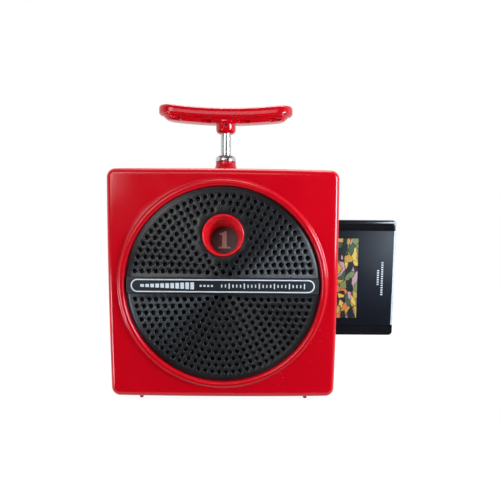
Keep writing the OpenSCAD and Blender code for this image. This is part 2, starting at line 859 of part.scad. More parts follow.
module plunger_rod() {
    color([0.86, 0.87, 0.88])
    difference() {
        translate([0, 0, rod_low]) cylinder(r = rod_r, h = grip_z - 2 - rod_low);
        rod_y(0, pin_z, pin_r, -rod_r - 1, rod_r + 1, 24);
    }
}

// Outline of the handle seen from above, one side from left tip to right tip
function grip_x(len, deep, n) = let (r = deep / 2)
    concat([for (i = [0:n]) [-len / 2 + r - r * cos(90 * i / n), r * sin(90 * i / n)]],
           [for (i = [1:15]) [(-len / 2 + r) + (len - deep) * i / 16, r]],
           [for (i = [0:n]) [len / 2 - r + r * sin(90 * i / n), r * cos(90 * i / n)]]);

// How far the handle's curve lifts a point at x
function bend(x) = grip_rise * pow(2 * x / grip_len, 2);

// A bent slab with half-round ends: levels are [height, inset] from bottom to top
module bent_slab(len, deep, levels) {
    n = 8;
    side = grip_x(len, deep, n);
    m = len(side);
    rings = [for (l = levels) let (s = grip_x(len - 2 * l[1], deep - 2 * l[1], n))
        concat([for (p = s) [p.x, -p.y, l[0] + bend(p.x)]],
               [for (i = [m - 2:-1:1]) [s[i].x, s[i].y, l[0] + bend(s[i].x)]])];
    c = 2 * m - 2;
    k = len(levels);
    walls = [for (j = [0:k - 2], i = [0:c - 1]) let (a = j * c + i, b = j * c + (i + 1) % c)
        each [[a, a + c, b + c], [a, b + c, b]]];
    function opposite(i) = (c - i) % c;
    function lid(base, up) = [for (i = [0:m - 2])
        let (a = base + i, b = base + i + 1, d = base + opposite(i), e = base + opposite(i + 1))
        each (i == 0 ? [up ? [a, e, b] : [a, b, e]]
            : i == m - 2 ? [up ? [a, d, b] : [a, b, d]]
            : up ? [[a, d, b], [d, e, b]] : [[a, b, d], [d, b, e]])];
    polyhedron(points = [for (r = rings) each r],
        faces = concat(walls, lid(0, false), lid((k - 1) * c, true)));
}

module handle_grip() {
    rim = 2.2;
    top = grip_h - lip;
    color([0.8, 0.02, 0.07])
    translate([0, 0, grip_z])
        difference() {
            bent_slab(grip_len, grip_deep, [[-lip, 0.9], [0.4 - lip, 0.25], [1 - lip, 0], [top - 3, 0],
                [top - 1.6, 0.3], [top - 0.8, 1], [top - 0.3, 2.4], [top, 5]]);
            bent_slab(grip_len - 2 * rim, grip_deep - 2 * rim, [[-lip - 1, 0], [top - 2.4, 0]]);
        }
}

module handle_underside() {
    rim = 2.2 + fit;
    low = -lip - belly;
    color([0.72, 0.02, 0.06])
    difference() {
        union() {
            translate([0, 0, grip_z])
                bent_slab(grip_len - 2 * rim, grip_deep - 2 * rim, [[low, 7], [low + 0.4, 4.6],
                    [low + 1.6, 2.8], [low + 2, 2.4], [low + 3.2, 0.6], [-lip, 0], [-0.4, 0]]);
            boss();
        }
        translate([0, 0, boss_z - 1]) cylinder(r = rod_r + 0.02, h = grip_z - boss_z - 0.5);
        rod_y(0, pin_z, pin_r, -boss_r - 2, boss_r + 2, 24);
        for (x = [-43, -16.5, 16.5, 43])
            span([x - 4.5, 3.4, grip_z + low - 1], [x + 4.5, 7.4, grip_z + bend(x) - lip - 0.4]);
    }
}

// Socket under the handle that takes the rod
module boss() {
    root = grip_z - lip - 1.5;
    rotate_extrude()
        polygon(concat([[0, boss_z], [rod_r + 1, boss_z]], arc(boss_r - 3, boss_z + 3, 3, -60, 0, 6),
            [[boss_r, root - 2.6], [boss_r + 0.8, root - 1], [boss_r + 2.2, root], [0, root]]));
}

module handle_pin() {
    color([0.2, 0.2, 0.2])
    rod_y(0, pin_z, pin_r - 0.03, -boss_r + 1.6, boss_r - 1.6, 24);
}

module ferrule() {
    z = collar_top + seat;
    color([0.85, 0.86, 0.86])
    difference() {
        rotate_extrude()
            polygon(concat([[rod_r + 1, z], [9, z]],
                [for (a = [0:10:80]) [6 + 3 * cos(a), z + 1.6 + (ferrule_h - 1.7) * sin(a)]],
                [[6, ferrule_top], [rod_r + 1, ferrule_top]]));
        translate([0, 0, z - 1]) cylinder(r = rod_r + 0.5, h = ferrule_h + 3);
    }
}

module plunger_bushing() {
    color([0.9, 0.9, 0.86])
    difference() {
        union() {
            translate([0, 0, washer_z + washer_t + 0.3])
                cylinder(r = bush_r, h = collar_top - washer_z - washer_t - 0.3);
            translate([0, 0, in_top - 1.3]) cylinder(r = 9, h = 1.2);
        }
        translate([0, 0, washer_z]) cylinder(r = rod_r + run, h = 40);
    }
}

module stop_washer() {
    color([0.8, 0.8, 0.8])
    difference() {
        translate([0, 0, washer_z]) cylinder(r = 9, h = washer_t);
        translate([0, 0, washer_z - 1]) cylinder(r = rod_r + 0.02, h = washer_t + 2);
    }
}

// Compression spring as one tube swept along a helix
module return_spring() {
    z0 = upper_tab + spring_wire / 2 + seat;
    z1 = washer_z - spring_wire / 2 - seat;
    count = spring_turns * spring_steps;
    color([0.7, 0.7, 0.72])
    polyhedron(
        points = [for (i = [0:count], s = [0:spring_sides - 1])
            let (a = 360 * i / spring_steps, b = 360 * s / spring_sides,
                r = spring_r + spring_wire / 2 * cos(b))
            [r * cos(a), r * sin(a), z0 + (z1 - z0) * i / count + spring_wire / 2 * sin(b)]],
        faces = concat(
            [for (i = [0:count - 1], s = [0:spring_sides - 1])
                let (p = i * spring_sides, q = p + spring_sides, t = (s + 1) % spring_sides)
                each [[p + s, p + t, q + t], [p + s, q + t, q + s]]],
            [[for (s = [spring_sides - 1:-1:0]) s],
             [for (s = [0:spring_sides - 1]) count * spring_sides + s]]));
}

// ---------- controls ----------

module control_panel() {
    color([0.08, 0.08, 0.09])
    difference() {
        union() {
            span([-case_w / 2 + 0.4, panel_y - panel_half, panel_z0],
                 [-in_x + 0.5, panel_y + panel_half, panel_z1]);
            span([-in_x + seat, panel_y - panel_half - 2.5, panel_z0 - 2.5],
                 [-in_x + seat + panel_t, panel_y + panel_half + 2.5, panel_z1 + 2.5]);
        }
        for (s = [-1, 1])
            span([-case_w / 2 - 1, panel_y + s * slide_gap / 2 - 1.6, slide_z - slide_half - 4],
                 [-in_x + 4, panel_y + s * slide_gap / 2 + 1.6, slide_z + slide_half + 4]);
    }
}

// A ridged cap outside the panel on a flat stem
module slide_knob(y) {
    x = -case_w / 2;
    span([x + 0.1, y - 1.1, slide_z - 2.5], [x + 9, y + 1.1, slide_z + 2.5]);
    span([x - 4, y - 4, slide_z - 5.5], [x + 0.1, y + 4, slide_z + 5.5]);
    for (i = [-2:2])
        span([x - knob_out, y - 4, slide_z + 2 * i - 0.4], [x - 3.9, y + 4, slide_z + 2 * i + 0.4]);
}

module volume_knob() {
    color([0.15, 0.15, 0.16]) slide_knob(panel_y - slide_gap / 2);
}

module tone_knob() {
    color([0.15, 0.15, 0.16]) slide_knob(panel_y + slide_gap / 2);
}

module slide_controls() {
    x = -in_x + seat + panel_t;
    color([0.6, 0.6, 0.6])
    for (s = [-1, 1])
        difference() {
            span([x + 0.1, panel_y + s * slide_gap / 2 - 4.5, slide_z - slide_half - 12],
                 [x + 9, panel_y + s * slide_gap / 2 + 4.5, slide_z + slide_half + 12]);
            span([x - 1, panel_y + s * slide_gap / 2 - 1.6, slide_z - slide_half - 4],
                 [x + 7.6, panel_y + s * slide_gap / 2 + 1.6, slide_z + slide_half + 4]);
        }
}

// A round socket, clamped between the two shells at the left side
module jack(z, bore, len) {
    difference() {
        union() {
            rod_x(part_y, z, jack_cut - fit, -case_w / 2 - 0.4, -case_w / 2 + len);
            rod_x(part_y, z, jack_nut, -case_w / 2 - 1.2, -case_w / 2 - 0.1);
            rod_x(part_y, z, jack_nut, -in_x + 0.1, -in_x + 1.6);
        }
        rod_x(part_y, z, bore, -case_w / 2 - 2, -case_w / 2 + len - 1.5, 32);
    }
}

module power_jack() {
    color([0.1, 0.1, 0.1]) {
        jack(jack_z - jack_step, 2.8, 13);
        rod_x(part_y, jack_z - jack_step, 1, -case_w / 2 + 1, -case_w / 2 + 12, 24);
    }
}

module earphone_jack() {
    color([0.1, 0.1, 0.1]) jack(jack_z, 1.75, 13);
}

// ---------- amplifier and batteries ----------

// The places of the board's four posts
module at_board_posts() {
    for (x = [board_x0 + 20, board_x1 - 6], z = [board_z0 + 6, board_z1 - 6])
        translate([x, 0, z]) children();
}

module circuit_board() {
    color([0.55, 0.42, 0.2]) {
        difference() {
            span([board_x0, board_y, board_z0], [board_x1, board_y + board_t, board_z1]);
            at_board_posts() rod_y(0, 0, 1.5, board_y - 1, board_y + 4, 24);
        }
        at_board_posts()
            difference() {
                rod_y(0, 0, 3, plate_back, board_y - 0.05, 32);
                rod_y(0, 0, 1.2, board_y - 8, board_y + 1, 24);
            }
    }
}

module board_parts() {
    translate([board_x0, board_y + board_t, board_z0]) {
        color([0.3, 0.35, 0.5])
        for (p = [[12, 14, 6, 16], [28, 16, 5, 14], [42, 14, 4, 12], [68, 12, 5, 14], [84, 12, 3.5, 10]])
            rod_y(p[0], p[1], p[2], 0, p[3], 32);
        color([0.75, 0.75, 0.77]) {
            for (i = [0:4]) span([92 + 5 * i, 0, 6], [93.6 + 5 * i, 16, 32]);
            span([92, 0, 6], [113.6, 2, 32]);
        }
        color([0.35, 0.2, 0.1])
        span([30, 0, 38], [54, 18, 60]);
        color([0.1, 0.1, 0.1])
        for (i = [0:5]) span([64 + 9 * i, 0, 44], [69 + 9 * i, 6, 48]);
    }
}

module battery_box() {
    top = box_z0 + box_h;
    color([0.12, 0.12, 0.12])
    difference() {
        span([-box_half, box_y, box_z0], [box_half, in_back - seat, top]);
        span([-box_half + box_t, box_y + box_t, box_z0 + box_t],
             [box_half - box_t, in_back + 1, top - box_t]);
    }
}

module battery_cells() {
    color([0.2, 0.3, 0.55])
    for (i = [-1:1], z = [box_z0 + box_t + 0.3 + cell_r, box_z0 + box_h - box_t - 0.3 - cell_r]) {
        x = i * (cell_len + 1.2) - cell_len / 2;
        rod_x(box_y + box_t + 0.2 + cell_r, z, cell_r, x, x + cell_len - 1.2);
        rod_x(box_y + box_t + 0.2 + cell_r, z, 3, x + cell_len - 1.3, x + cell_len, 24);
    }
}

module battery_contacts() {
    color([0.8, 0.8, 0.75])
    for (x = [-1, 1], z = [box_z0 + box_t + 0.3 + cell_r, box_z0 + box_h - box_t - 0.3 - cell_r])
        translate([0, box_y + box_t + cell_r, z])
            span([x > 0 ? box_half - box_t - 1 : -box_half + box_t + 0.1, -contact_deep, -contact_half],
                 [x > 0 ? box_half - box_t - 0.1 : -box_half + box_t + 1, contact_deep, contact_half]);
}

module battery_door() {
    y0 = hinge_y - 1.2;
    color([0.76, 0.02, 0.06]) {
        span([-door_half, y0, hinge_z], [door_half, back_y, door_z0 + door_h]);
        rod_x(hinge_y, hinge_z, 1.2, -door_half, door_half);
        rod_x(hinge_y, hinge_z, hinge_pin, -door_half - 2, door_half + 2, 32);
        for (i = [0:4])
            span([-12, back_y - 0.1, door_z0 + door_h - 14 + 2.4 * i],
                 [12, back_y + rib, door_z0 + door_h - 13 + 2.4 * i]);
    }
}

module case_screws() {
    color([0.7, 0.7, 0.7])
    at_case_posts() screw_y(part_y + 14.1, 30);
}

module chassis_screws() {
    color([0.7, 0.7, 0.7]) {
        at_plate_posts() screw_y(plate_back + seat, 9);
        at_board_posts() screw_y(board_y + board_t + seat, 8, 1.1, 2.4);
    }
}

// ---------- cartridge ----------

// Outline of the cartridge in its own plane, rounded at its outer corners
module cart_outline(inset = 0) {
    r = 4;
    x0 = cart_x0 + inset;
    x1 = cart_x1 - inset;
    z0 = cart_z0 + inset;
    z1 = cart_z1 - inset;
    polygon(concat([[x0, z0]], arc(x1 - r, z0 + r, r, -90, 0, 6), arc(x1 - r, z1 - r, r, 0, 90, 6),
        [[x0, z1]]));
}

// The outline extruded along Y between two depths
module cart_slab(y0, y1, inset = 0) {
    translate([0, y1, 0]) rotate([90, 0, 0]) linear_extrude(y1 - y0) cart_outline(inset);
}

// Openings in the inner end for the roller, the head and the switch, and the capstan's notch
module cart_mouths() {
    y0 = cart_y0 + 3;
    y1 = cart_y1 - 3;
    for (m = [[capstan_z, 7.5], [cart_z, 9], [cart_z1 - 15, 6]])
        span([cart_x0 - 1, y0, m[0] - m[1]], [cart_x0 + 4, y1, m[0] + m[1]]);
    span([cart_x0 - 1, cart_y1 - 4, capstan_z - 3.5], [capstan_x + 2.6, cart_y1 + 1, capstan_z + 3.5]);
}

module cart_cover() {
    color([0.06, 0.06, 0.07])
    difference() {
        union() {
            difference() {
                cart_slab(cart_y0, cart_split - fit / 2);
                cart_slab(cart_y0 + cart_wall + label_deep, cart_split + 1, cart_wall);
            }
            roller_bay(cart_y0 + 1, cart_split - fit / 2);
        }
        span([cart_x0 + 8, cart_y0 - 1, cart_z0 + rail_w],
             [cart_x1 + 1, cart_y0 + label_deep, cart_z1 - rail_w]);
        span([cart_x1 - label_deep, cart_y0 - 1, cart_z0 + rail_w],
             [cart_x1 + 1, cart_split, cart_z1 - rail_w]);
        for (z = [cart_z0 + 4.4, cart_z1 - 4.4])
            span([cart_x0 + 30, cart_y0 - 1, z - 0.5], [cart_x1 - 4, cart_y0 + 0.4, z + 0.5]);
        cart_mouths();
    }
}

module cart_base() {
    color([0.05, 0.05, 0.06])
    difference() {
        union() {
            difference() {
                cart_slab(cart_split + fit / 2, cart_y1);
                cart_slab(cart_split - 1, cart_y1 - cart_wall, cart_wall);
            }
            roller_bay(cart_split + fit / 2, cart_y1 - 1);
            rod_y(reel_x, cart_z, 5, cart_y1 - cart_wall - 3, cart_y1 - 1);
            rod_y(reel_x, cart_z, 2.4, cart_y0 + 4, cart_y1 - 1);
            rod_y(roller_x, capstan_z, roller_bore - run, cart_y0 + 2.6, cart_y1 - 1, 32);
        }
        span([cart_x1 - label_deep, cart_split, cart_z0 + rail_w],
             [cart_x1 + 1, cart_y1 + 1, cart_z1 - rail_w]);
        cart_mouths();
    }
}

// Walls that close the shell round the pinch roller
module roller_bay(y0, y1) {
    difference() {
        span([cart_x0 + 0.5, y0, capstan_z - 9], [roller_x + roller_r + 3, y1, capstan_z + 9]);
        span([cart_x0, y0 - 1, capstan_z - 7.5], [roller_x + roller_r + 1.5, y1 + 1, capstan_z + 7.5]);
    }
}

module cart_label() {
    color([0.08, 0.08, 0.1])
    span([cart_x0 + 8 + fit, cart_y0 + label_deep - label_t, cart_z0 + rail_w + fit],
         [cart_x1 - label_deep - fit, cart_y0 + label_deep, cart_z1 - rail_w - fit]);
}

module cart_end_label() {
    color([0.85, 0.88, 0.88])
    span([cart_x1 - label_deep, cart_y0 + 0.2, cart_z0 + rail_w + fit],
         [cart_x1 - label_deep + label_t, cart_y1 - 0.6, cart_z1 - rail_w - fit]);
}

module tape_reel() {
    color([0.85, 0.85, 0.82])
    translate([reel_x, cart_y1 - cart_wall - 3.3, cart_z]) rotate([90, 0, 0])
        rotate_extrude()
            polygon([[2.4 + run, 0], [42, 0], [42, 1.2], [14, 1.2], [14, 8], [12, 8], [12, 1.4],
                [5, 1.4], [5, 6], [2.4 + run, 6]]);
}

module tape_pack() {
    color([0.25, 0.15, 0.1])
    translate([reel_x, cart_y1 - cart_wall - 3.3 - 1.3, cart_z]) rotate([90, 0, 0])
        difference() {
            cylinder(r = 38, h = 6.4);
            translate([0, 0, -1]) cylinder(r = 14.05, h = 9);
        }
}

module pinch_roller() {
    color([0.1, 0.1, 0.1])
    difference() {
        rod_y(roller_x, capstan_z, roller_r, cart_y0 + 3.5, cart_y1 - 3.5);
        rod_y(roller_x, capstan_z, roller_bore, cart_y0, cart_y1, 32);
    }
}

module pressure_pads() {
    color([0.75, 0.7, 0.5])
    for (z = [cart_z - 5, cart_z + 5])
        span([cart_x0 + 1.2, cart_y0 + 6, z - 2.5], [cart_x0 + 4, cart_y0 + 14, z + 2.5]);
}

placed() front_case();
placed() rear_case();
placed() grille();
placed() name_band();
placed() band_outline();
placed() indicator_funnel();
placed() indicator_lens();
placed() speaker_baffle();
placed() speaker_frame();
placed() speaker_cone();
placed() speaker_magnet();
placed() speaker_screws();
placed() chassis_plate();
placed() cartridge_guide();
placed() motor();
placed() motor_pulley();
placed() flywheel();
placed() capstan_shaft();
placed() capstan_bearing();
placed() drive_belt();
placed() head_carriage();
placed() tape_head();
placed() guide_posts();
placed() program_shaft();
placed() number_wheel();
placed() ratchet_wheel();
placed() step_cam();
placed() mechanism_bracket();
placed() plunger_bracket();
placed() at_plunger() plunger_rod();
placed() at_plunger() handle_grip();
placed() at_plunger() handle_underside();
placed() at_plunger() handle_pin();
placed() at_plunger() ferrule();
placed() at_plunger() plunger_bushing();
placed() at_plunger() stop_washer();
placed() at_plunger() return_spring();
placed() at_plunger() pawl_arm();
placed() volume_knob();
placed() tone_knob();
placed() slide_controls();
placed() control_panel();
placed() power_jack();
placed() earphone_jack();
placed() circuit_board();
placed() board_parts();
placed() battery_box();
placed() battery_cells();
placed() battery_contacts();
placed() battery_door();
placed() case_screws();
placed() chassis_screws();
placed() cart_cover();
placed() cart_base();
placed() cart_label();
placed() cart_end_label();
placed() tape_reel();
placed() tape_pack();
placed() pinch_roller();
placed() pressure_pads();
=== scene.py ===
"""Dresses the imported 8-track player: shells, grille, program window, handle and cartridge.

Shapes are worked out in millimetres, and make_object turns them into Blender's metres.
"""
import math

import bmesh
import bpy
from mathutils import Euler, Matrix, Vector
from mathutils.geometry import delaunay_2d_cdt


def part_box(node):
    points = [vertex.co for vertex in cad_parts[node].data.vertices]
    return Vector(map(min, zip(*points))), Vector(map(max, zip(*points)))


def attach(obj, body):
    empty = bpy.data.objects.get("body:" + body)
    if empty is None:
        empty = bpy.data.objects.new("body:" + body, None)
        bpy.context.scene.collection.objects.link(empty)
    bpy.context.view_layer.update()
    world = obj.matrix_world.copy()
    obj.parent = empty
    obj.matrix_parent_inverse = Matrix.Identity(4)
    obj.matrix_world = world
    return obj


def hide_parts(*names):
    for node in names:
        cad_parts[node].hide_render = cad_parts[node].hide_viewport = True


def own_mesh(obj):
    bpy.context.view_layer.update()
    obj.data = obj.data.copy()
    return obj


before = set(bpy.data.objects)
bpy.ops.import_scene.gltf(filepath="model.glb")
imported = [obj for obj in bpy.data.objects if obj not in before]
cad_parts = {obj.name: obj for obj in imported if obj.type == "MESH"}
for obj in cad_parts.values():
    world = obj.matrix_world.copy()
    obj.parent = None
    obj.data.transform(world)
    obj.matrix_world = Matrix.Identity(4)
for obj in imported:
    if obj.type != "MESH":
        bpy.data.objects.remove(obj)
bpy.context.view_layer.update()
MM = 0.001
TAU = 2 * math.pi


# ---------- sizes read from the frame ----------

def span(node):
    """A CAD node's lowest and highest corners and their middle, in millimetres."""
    lo, hi = (Vector(corner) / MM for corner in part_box(node))
    return lo, hi, (lo + hi) / 2


front_lo, _, _ = span("front_case")
rear_lo, rear_hi, rear_mid = span("rear_case")
grille_lo, grille_hi, _ = span("grille")
band_lo, band_hi, _ = span("name_band")
funnel_lo, _, funnel_mid = span("indicator_funnel")
lens_lo, lens_hi, lens_mid = span("indicator_lens")
wheel_lo, wheel_hi, wheel_mid = span("number_wheel")
rod_lo, rod_hi, rod_mid = span("plunger_rod")
grip_lo, grip_hi, grip_mid = span("handle_grip")
cover_lo, cover_hi, _ = span("cart_cover")
base_lo, base_hi, _ = span("cart_base")

RING_H = 3           # how far the ring round the grille stands proud of the face
TONGUE = 3           # how far the rear shell reaches into the front one
WALL = 2.6
CX = rear_mid.x
HALF = (rear_hi.x - rear_lo.x) / 2
LEFT, RIGHT = CX - HALF, CX + HALF
TOP = rear_hi.z
MID_Z = TOP - HALF
UNDER = TOP - 2 * HALF
FRONT = front_lo.y + RING_H
BACK = rear_hi.y
PART = rear_lo.y + TONGUE
IN_FRONT = FRONT + WALL
IN_BACK = BACK - WALL
ROD_X, ROD_Y, _ = rod_mid
ROD_R = (rod_hi.x - rod_lo.x) / 2
FUNNEL_Z = funnel_mid.z
LENS_Z = lens_mid.z

# ---------- shell shape ----------

CORNER_R = 7
EDGE_R = 4.5
EDGE_ANGLES = [math.radians(10 * i) for i in range(1, 10)]
BOW = 0.009          # how far each side is crowned, as a share of the half width
SIDE_STEPS = 34
CORNER_STEPS = 10
REVEAL = 0.6         # groove between the two shells
RING_OUT = 84.3
RING_IN = 79.1
RING_STEPS = 14
LEDGE = 5            # width of the seat that the grille's rim lies on
FOOT_X = 69.3        # from the middle to a foot
FOOT_IN = 12         # from the front or the back to a foot


# ---------- mesh helpers ----------

def add_object(name, data):
    obj = bpy.data.objects.new(name, data)
    bpy.context.scene.collection.objects.link(obj)
    return obj


def make_object(name, verts, faces, weld=True, bevel=0, segments=3):
    """A mesh object from points in millimetres, with its edges rounded where bevel is given."""
    mesh = bpy.data.meshes.new(name)
    mesh.from_pydata([tuple(c * MM for c in v) for v in verts], [], faces)
    bm = bmesh.new()
    bm.from_mesh(mesh)
    if weld:
        bmesh.ops.remove_doubles(bm, verts=bm.verts, dist=1e-7)
    bmesh.ops.recalc_face_normals(bm, faces=bm.faces)
    if bevel:
        bmesh.ops.bevel(bm, geom=bm.edges[:], offset=bevel * MM, segments=segments, profile=0.5,
                        affect="EDGES")
    bm.to_mesh(mesh)
    bm.free()
    return add_object(name, mesh)


def ring_faces(a, b, n):
    """Quads between two loops of n points, whose first points are a and b."""
    return [(a + i, a + (i + 1) % n, b + (i + 1) % n, b + i) for i in range(n)]


def loft(name, loops, closed=False, caps=True, ends=()):
    """Skin over loops of equal length. closed joins the last loop to the first; ends are more faces."""
    n = len(loops[0])
    verts = [p for loop in loops for p in loop]
    last = len(loops) if closed else len(loops) - 1
    faces = [face for k in range(last) for face in ring_faces(k * n, (k + 1) % len(loops) * n, n)]
    if caps and not closed:
        faces += [tuple(range(n)), tuple(range(len(verts) - n, len(verts)))]
    return make_object(name, verts, faces + list(ends))


def carve(obj, cutters):
    """Cuts the solids away from obj, and deletes them."""
    for cutter in cutters:
        mod = obj.modifiers.new("carve", "BOOLEAN")
        mod.object = cutter
        mod.operation = "DIFFERENCE"
        mod.solver = "EXACT"
    bpy.context.view_layer.update()
    graph = bpy.context.evaluated_depsgraph_get()
    mesh = bpy.data.meshes.new_from_object(obj.evaluated_get(graph))
    obj.modifiers.clear()
    obj.data = mesh
    for cutter in cutters:
        bpy.data.objects.remove(cutter)


def join(name, parts):
    """One object from several, with their meshes side by side."""
    bm = bmesh.new()
    for part in parts:
        bm.from_mesh(part.data)
        bpy.data.objects.remove(part)
    mesh = bpy.data.meshes.new(name)
    bm.to_mesh(mesh)
    bm.free()
    return add_object(name, mesh)


def block(lo, hi, bevel=0, segments=3):
    """A box between two corners with rounded edges."""
    verts = [(x, y, z) for x in (lo[0], hi[0]) for y in (lo[1], hi[1]) for z in (lo[2], hi[2])]
    faces = [(0, 1, 3, 2), (4, 6, 7, 5), (0, 4, 5, 1), (2, 3, 7, 6), (0, 2, 6, 4), (1, 5, 7, 3)]
    return make_object("block", verts, faces, True, bevel, segments)


def turned(name, profile, origin, axis, segments):
    """A closed body turned from a profile of (radius, height) points about an axis through origin."""
    loops = []
    for r, h in profile:
        loop = []
        for i in range(segments):
            c, s = math.cos(TAU * i / segments), math.sin(TAU * i / segments)
            point = {"Z": (r * c, r * s, h), "Y": (r * c, h, r * s), "X": (h, r * c, r * s)}[axis]
            loop.append(Vector(origin) + Vector(point))
        loops.append(loop)
    ring = profile[0][0] > 1e-6 and profile[-1][0] > 1e-6
    return loft(name, loops, closed=ring, caps=False)


def cylinder(r, low, high, origin, axis, segments):
    return turned("cylinder", [(0, low), (r, low), (r, high), (0, high)], origin, axis, segments)


def corner_arc(cx, cy, r, start, end, steps):
    """Points of an arc, from one angle to another in degrees."""
    points = []
    for i in range(steps + 1):
        a = math.radians(start + (end - start) * i / steps)
        points.append((cx + r * math.cos(a), cy + r * math.sin(a)))
    return points


def dress(obj, material, body, sharp, replaces=()):
    """Material, smooth shading with edges over sharp degrees, and the frame's words for the piece."""
    obj.data.materials.clear()
    obj.data.materials.append(material)
    obj.data.shade_smooth()
    obj.data.set_sharp_from_angle(angle=math.radians(sharp))
    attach(obj, body)
    if replaces:
        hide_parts(*replaces)
    return obj


# ---------- materials ----------

class Nodes:
    """Short calls for building the node tree of a new material of this name, or of the world."""

    def __init__(self, owner, clear=False):
        self.owner = bpy.data.materials.new(owner) if isinstance(owner, str) else owner
        self.owner.use_nodes = True
        self.tree = self.owner.node_tree
        if clear:
            self.tree.nodes.clear()

    def put(self, socket, value):
        """Links an output to the socket, or sets the socket's own value."""
        if isinstance(value, bpy.types.NodeSocket):
            self.tree.links.new(value, socket)
        else:
            socket.default_value = (*value[:3], 1) if socket.type == "RGBA" else value

    def fill(self, node, **inputs):
        for key, value in inputs.items():
            self.put(node.inputs[key.replace("_", " ")], value)
        return node

    def add(self, kind, **inputs):
        return self.fill(self.tree.nodes.new("ShaderNode" + kind), **inputs)

    def finish(self, **inputs):
        """Sets the material's own shader, and returns the material."""
        self.fill(self.tree.nodes["Principled BSDF"], **inputs)
        return self.owner

    def coords(self, scale=(1, 1, 1)):
        point = self.add("TexCoord").outputs["Object"]
        return self.add("Mapping", Vector=point, Scale=scale).outputs["Vector"]

    def noise(self, scale, detail=3.0, stretch=(1, 1, 1)):
        return self.add("TexNoise", Scale=scale, Detail=detail, Vector=self.coords(stretch)).outputs["Fac"]

    def ramp(self, value, stops, interpolation="LINEAR"):
        node = self.add("ValToRGB", Fac=value)
        elements = node.color_ramp.elements
        while len(elements) < len(stops):
            elements.new(0.5)
        for element, (position, colour) in zip(elements, stops):
            element.position = position
            element.color = (*colour, 1)
        node.color_ramp.interpolation = interpolation
        return node.outputs["Color"]

    def spread(self, value, low, high, out_low=0, out_high=1):
        return self.add("MapRange", Value=value, From_Min=low, From_Max=high, To_Min=out_low,
                        To_Max=out_high).outputs["Result"]

    def mix(self, factor, a, b):
        node = self.add("Mix")
        node.data_type = "RGBA"
        for name, value in (("Factor", factor), ("A", a), ("B", b)):
            self.put([s for s in node.inputs if s.name == name and s.enabled][0], value)
        return [s for s in node.outputs if s.enabled][0]

    def math(self, operation, *values, kind="Math"):
        node = self.add(kind)
        node.operation = operation
        for socket, value in zip(node.inputs, values):
            self.put(socket, value)
        return node.outputs[0]

    def bump(self, height, strength, distance, before=None):
        """Bump of some metres, on top of the normal in before."""
        node = self.add("Bump", Height=height, Strength=strength, Distance=distance)
        if before is not None:
            self.put(node.inputs["Normal"], before)
        return node.outputs["Normal"]

    def rays(self, *kinds):
        """1 for rays of these kinds, 0 for all others."""
        path = self.add("LightPath").outputs
        seen = path[f"Is {kinds[0]} Ray"]
        for kind in kinds[1:]:
            seen = self.math("MAXIMUM", seen, path[f"Is {kind} Ray"])
        return seen

    def surface(self, kind, share, plain, shown):
        """Ends the tree in two shaders, of which shown gets this share."""
        mixer = self.add("MixShader")
        for socket, value in zip(mixer.inputs, (share, plain.outputs[0], shown.outputs[0])):
            self.put(socket, value)
        self.add(kind, Surface=mixer.outputs[0])


def moulded(name, colour, dark, rough, grain, specks=0.0, shine=0.5, speck_colour=(0.8, 0.6, 0.6)):
    """Moulded plastic: faint cloudiness, a fine skin, handling marks and a few dust specks."""
    n = Nodes(name)
    tint = n.mix(n.spread(n.noise(22, 4), 0.35, 0.65), dark, colour)
    if specks:
        cells = n.add("TexVoronoi", Scale=260, Vector=n.coords())
        near = n.spread(cells.outputs["Distance"], 0.05, 0.09, specks, 0)
        patch = n.spread(n.noise(35, 2), 0.55, 0.7)
        tint = n.mix(n.math("MULTIPLY", near, patch), tint, speck_colour)
    skin = n.bump(n.noise(1600, 2), grain, 0.0001)
    marks = n.bump(n.noise(70, 4), grain, 0.0004, skin)
    wear = n.spread(n.noise(45, 5), 0.3, 0.7, rough - 0.03, rough + 0.05)
    return n.finish(Base_Color=tint, Roughness=wear, Normal=marks, Specular_IOR_Level=shine)


def metal(name, colour, rough, stretch, scale, depth):
    """Plated, ground or turned metal with fine marks along one direction."""
    n = Nodes(name)
    lines = n.noise(scale, 4, stretch)
    shade = tuple(0.82 * c for c in colour)
    return n.finish(
        Base_Color=n.mix(n.spread(lines, 0.3, 0.7), shade, colour), Metallic=1.0,
        Roughness=n.spread(lines, 0.3, 0.7, rough * 0.75, rough * 1.3), Normal=n.bump(lines, depth, 0.0002))


def grille_material():
    """Black plastic with fine turned rings, so that the light gathers in two opposite fans."""
    n = Nodes("grille_black")
    tangent = n.add("Tangent")
    tangent.direction_type = "RADIAL"
    tangent.axis = "Y"
    cloud = n.spread(n.noise(60, 4), 0.35, 0.65)
    return n.finish(
        Base_Color=n.mix(cloud, (0.0045, 0.0048, 0.006), (0.0075, 0.008, 0.010)),
        Roughness=n.spread(n.noise(30, 3), 0.3, 0.7, 0.36, 0.44),
        Normal=n.bump(n.noise(900, 3), 0.05, 0.0002), Tangent=tangent.outputs["Tangent"],
        Anisotropic=0.9, Anisotropic_Rotation=0.25, Specular_IOR_Level=0.9)


def glass_material():
    """Clear plastic window with a faint grey veil in patches, painted into its colour as a painted
    reflection.
    """
    n = Nodes("window_glass")
    painted_reflection_and_roughness = n.noise(90, 4)
    return n.finish(
        # the grey base colour in patches is a painted reflection standing in for the window's reflections;
        # the same noise also varies the roughness
        Base_Color=n.mix(n.spread(painted_reflection_and_roughness, 0.35, 0.65), (0.20, 0.21, 0.20), (0.34, 0.36, 0.34)),
        Roughness=n.spread(painted_reflection_and_roughness, 0.3, 0.7, 0.05, 0.16), Normal=n.bump(n.noise(160, 3), 0.05, 0.0004),
        IOR=1.45, Alpha=0.12)


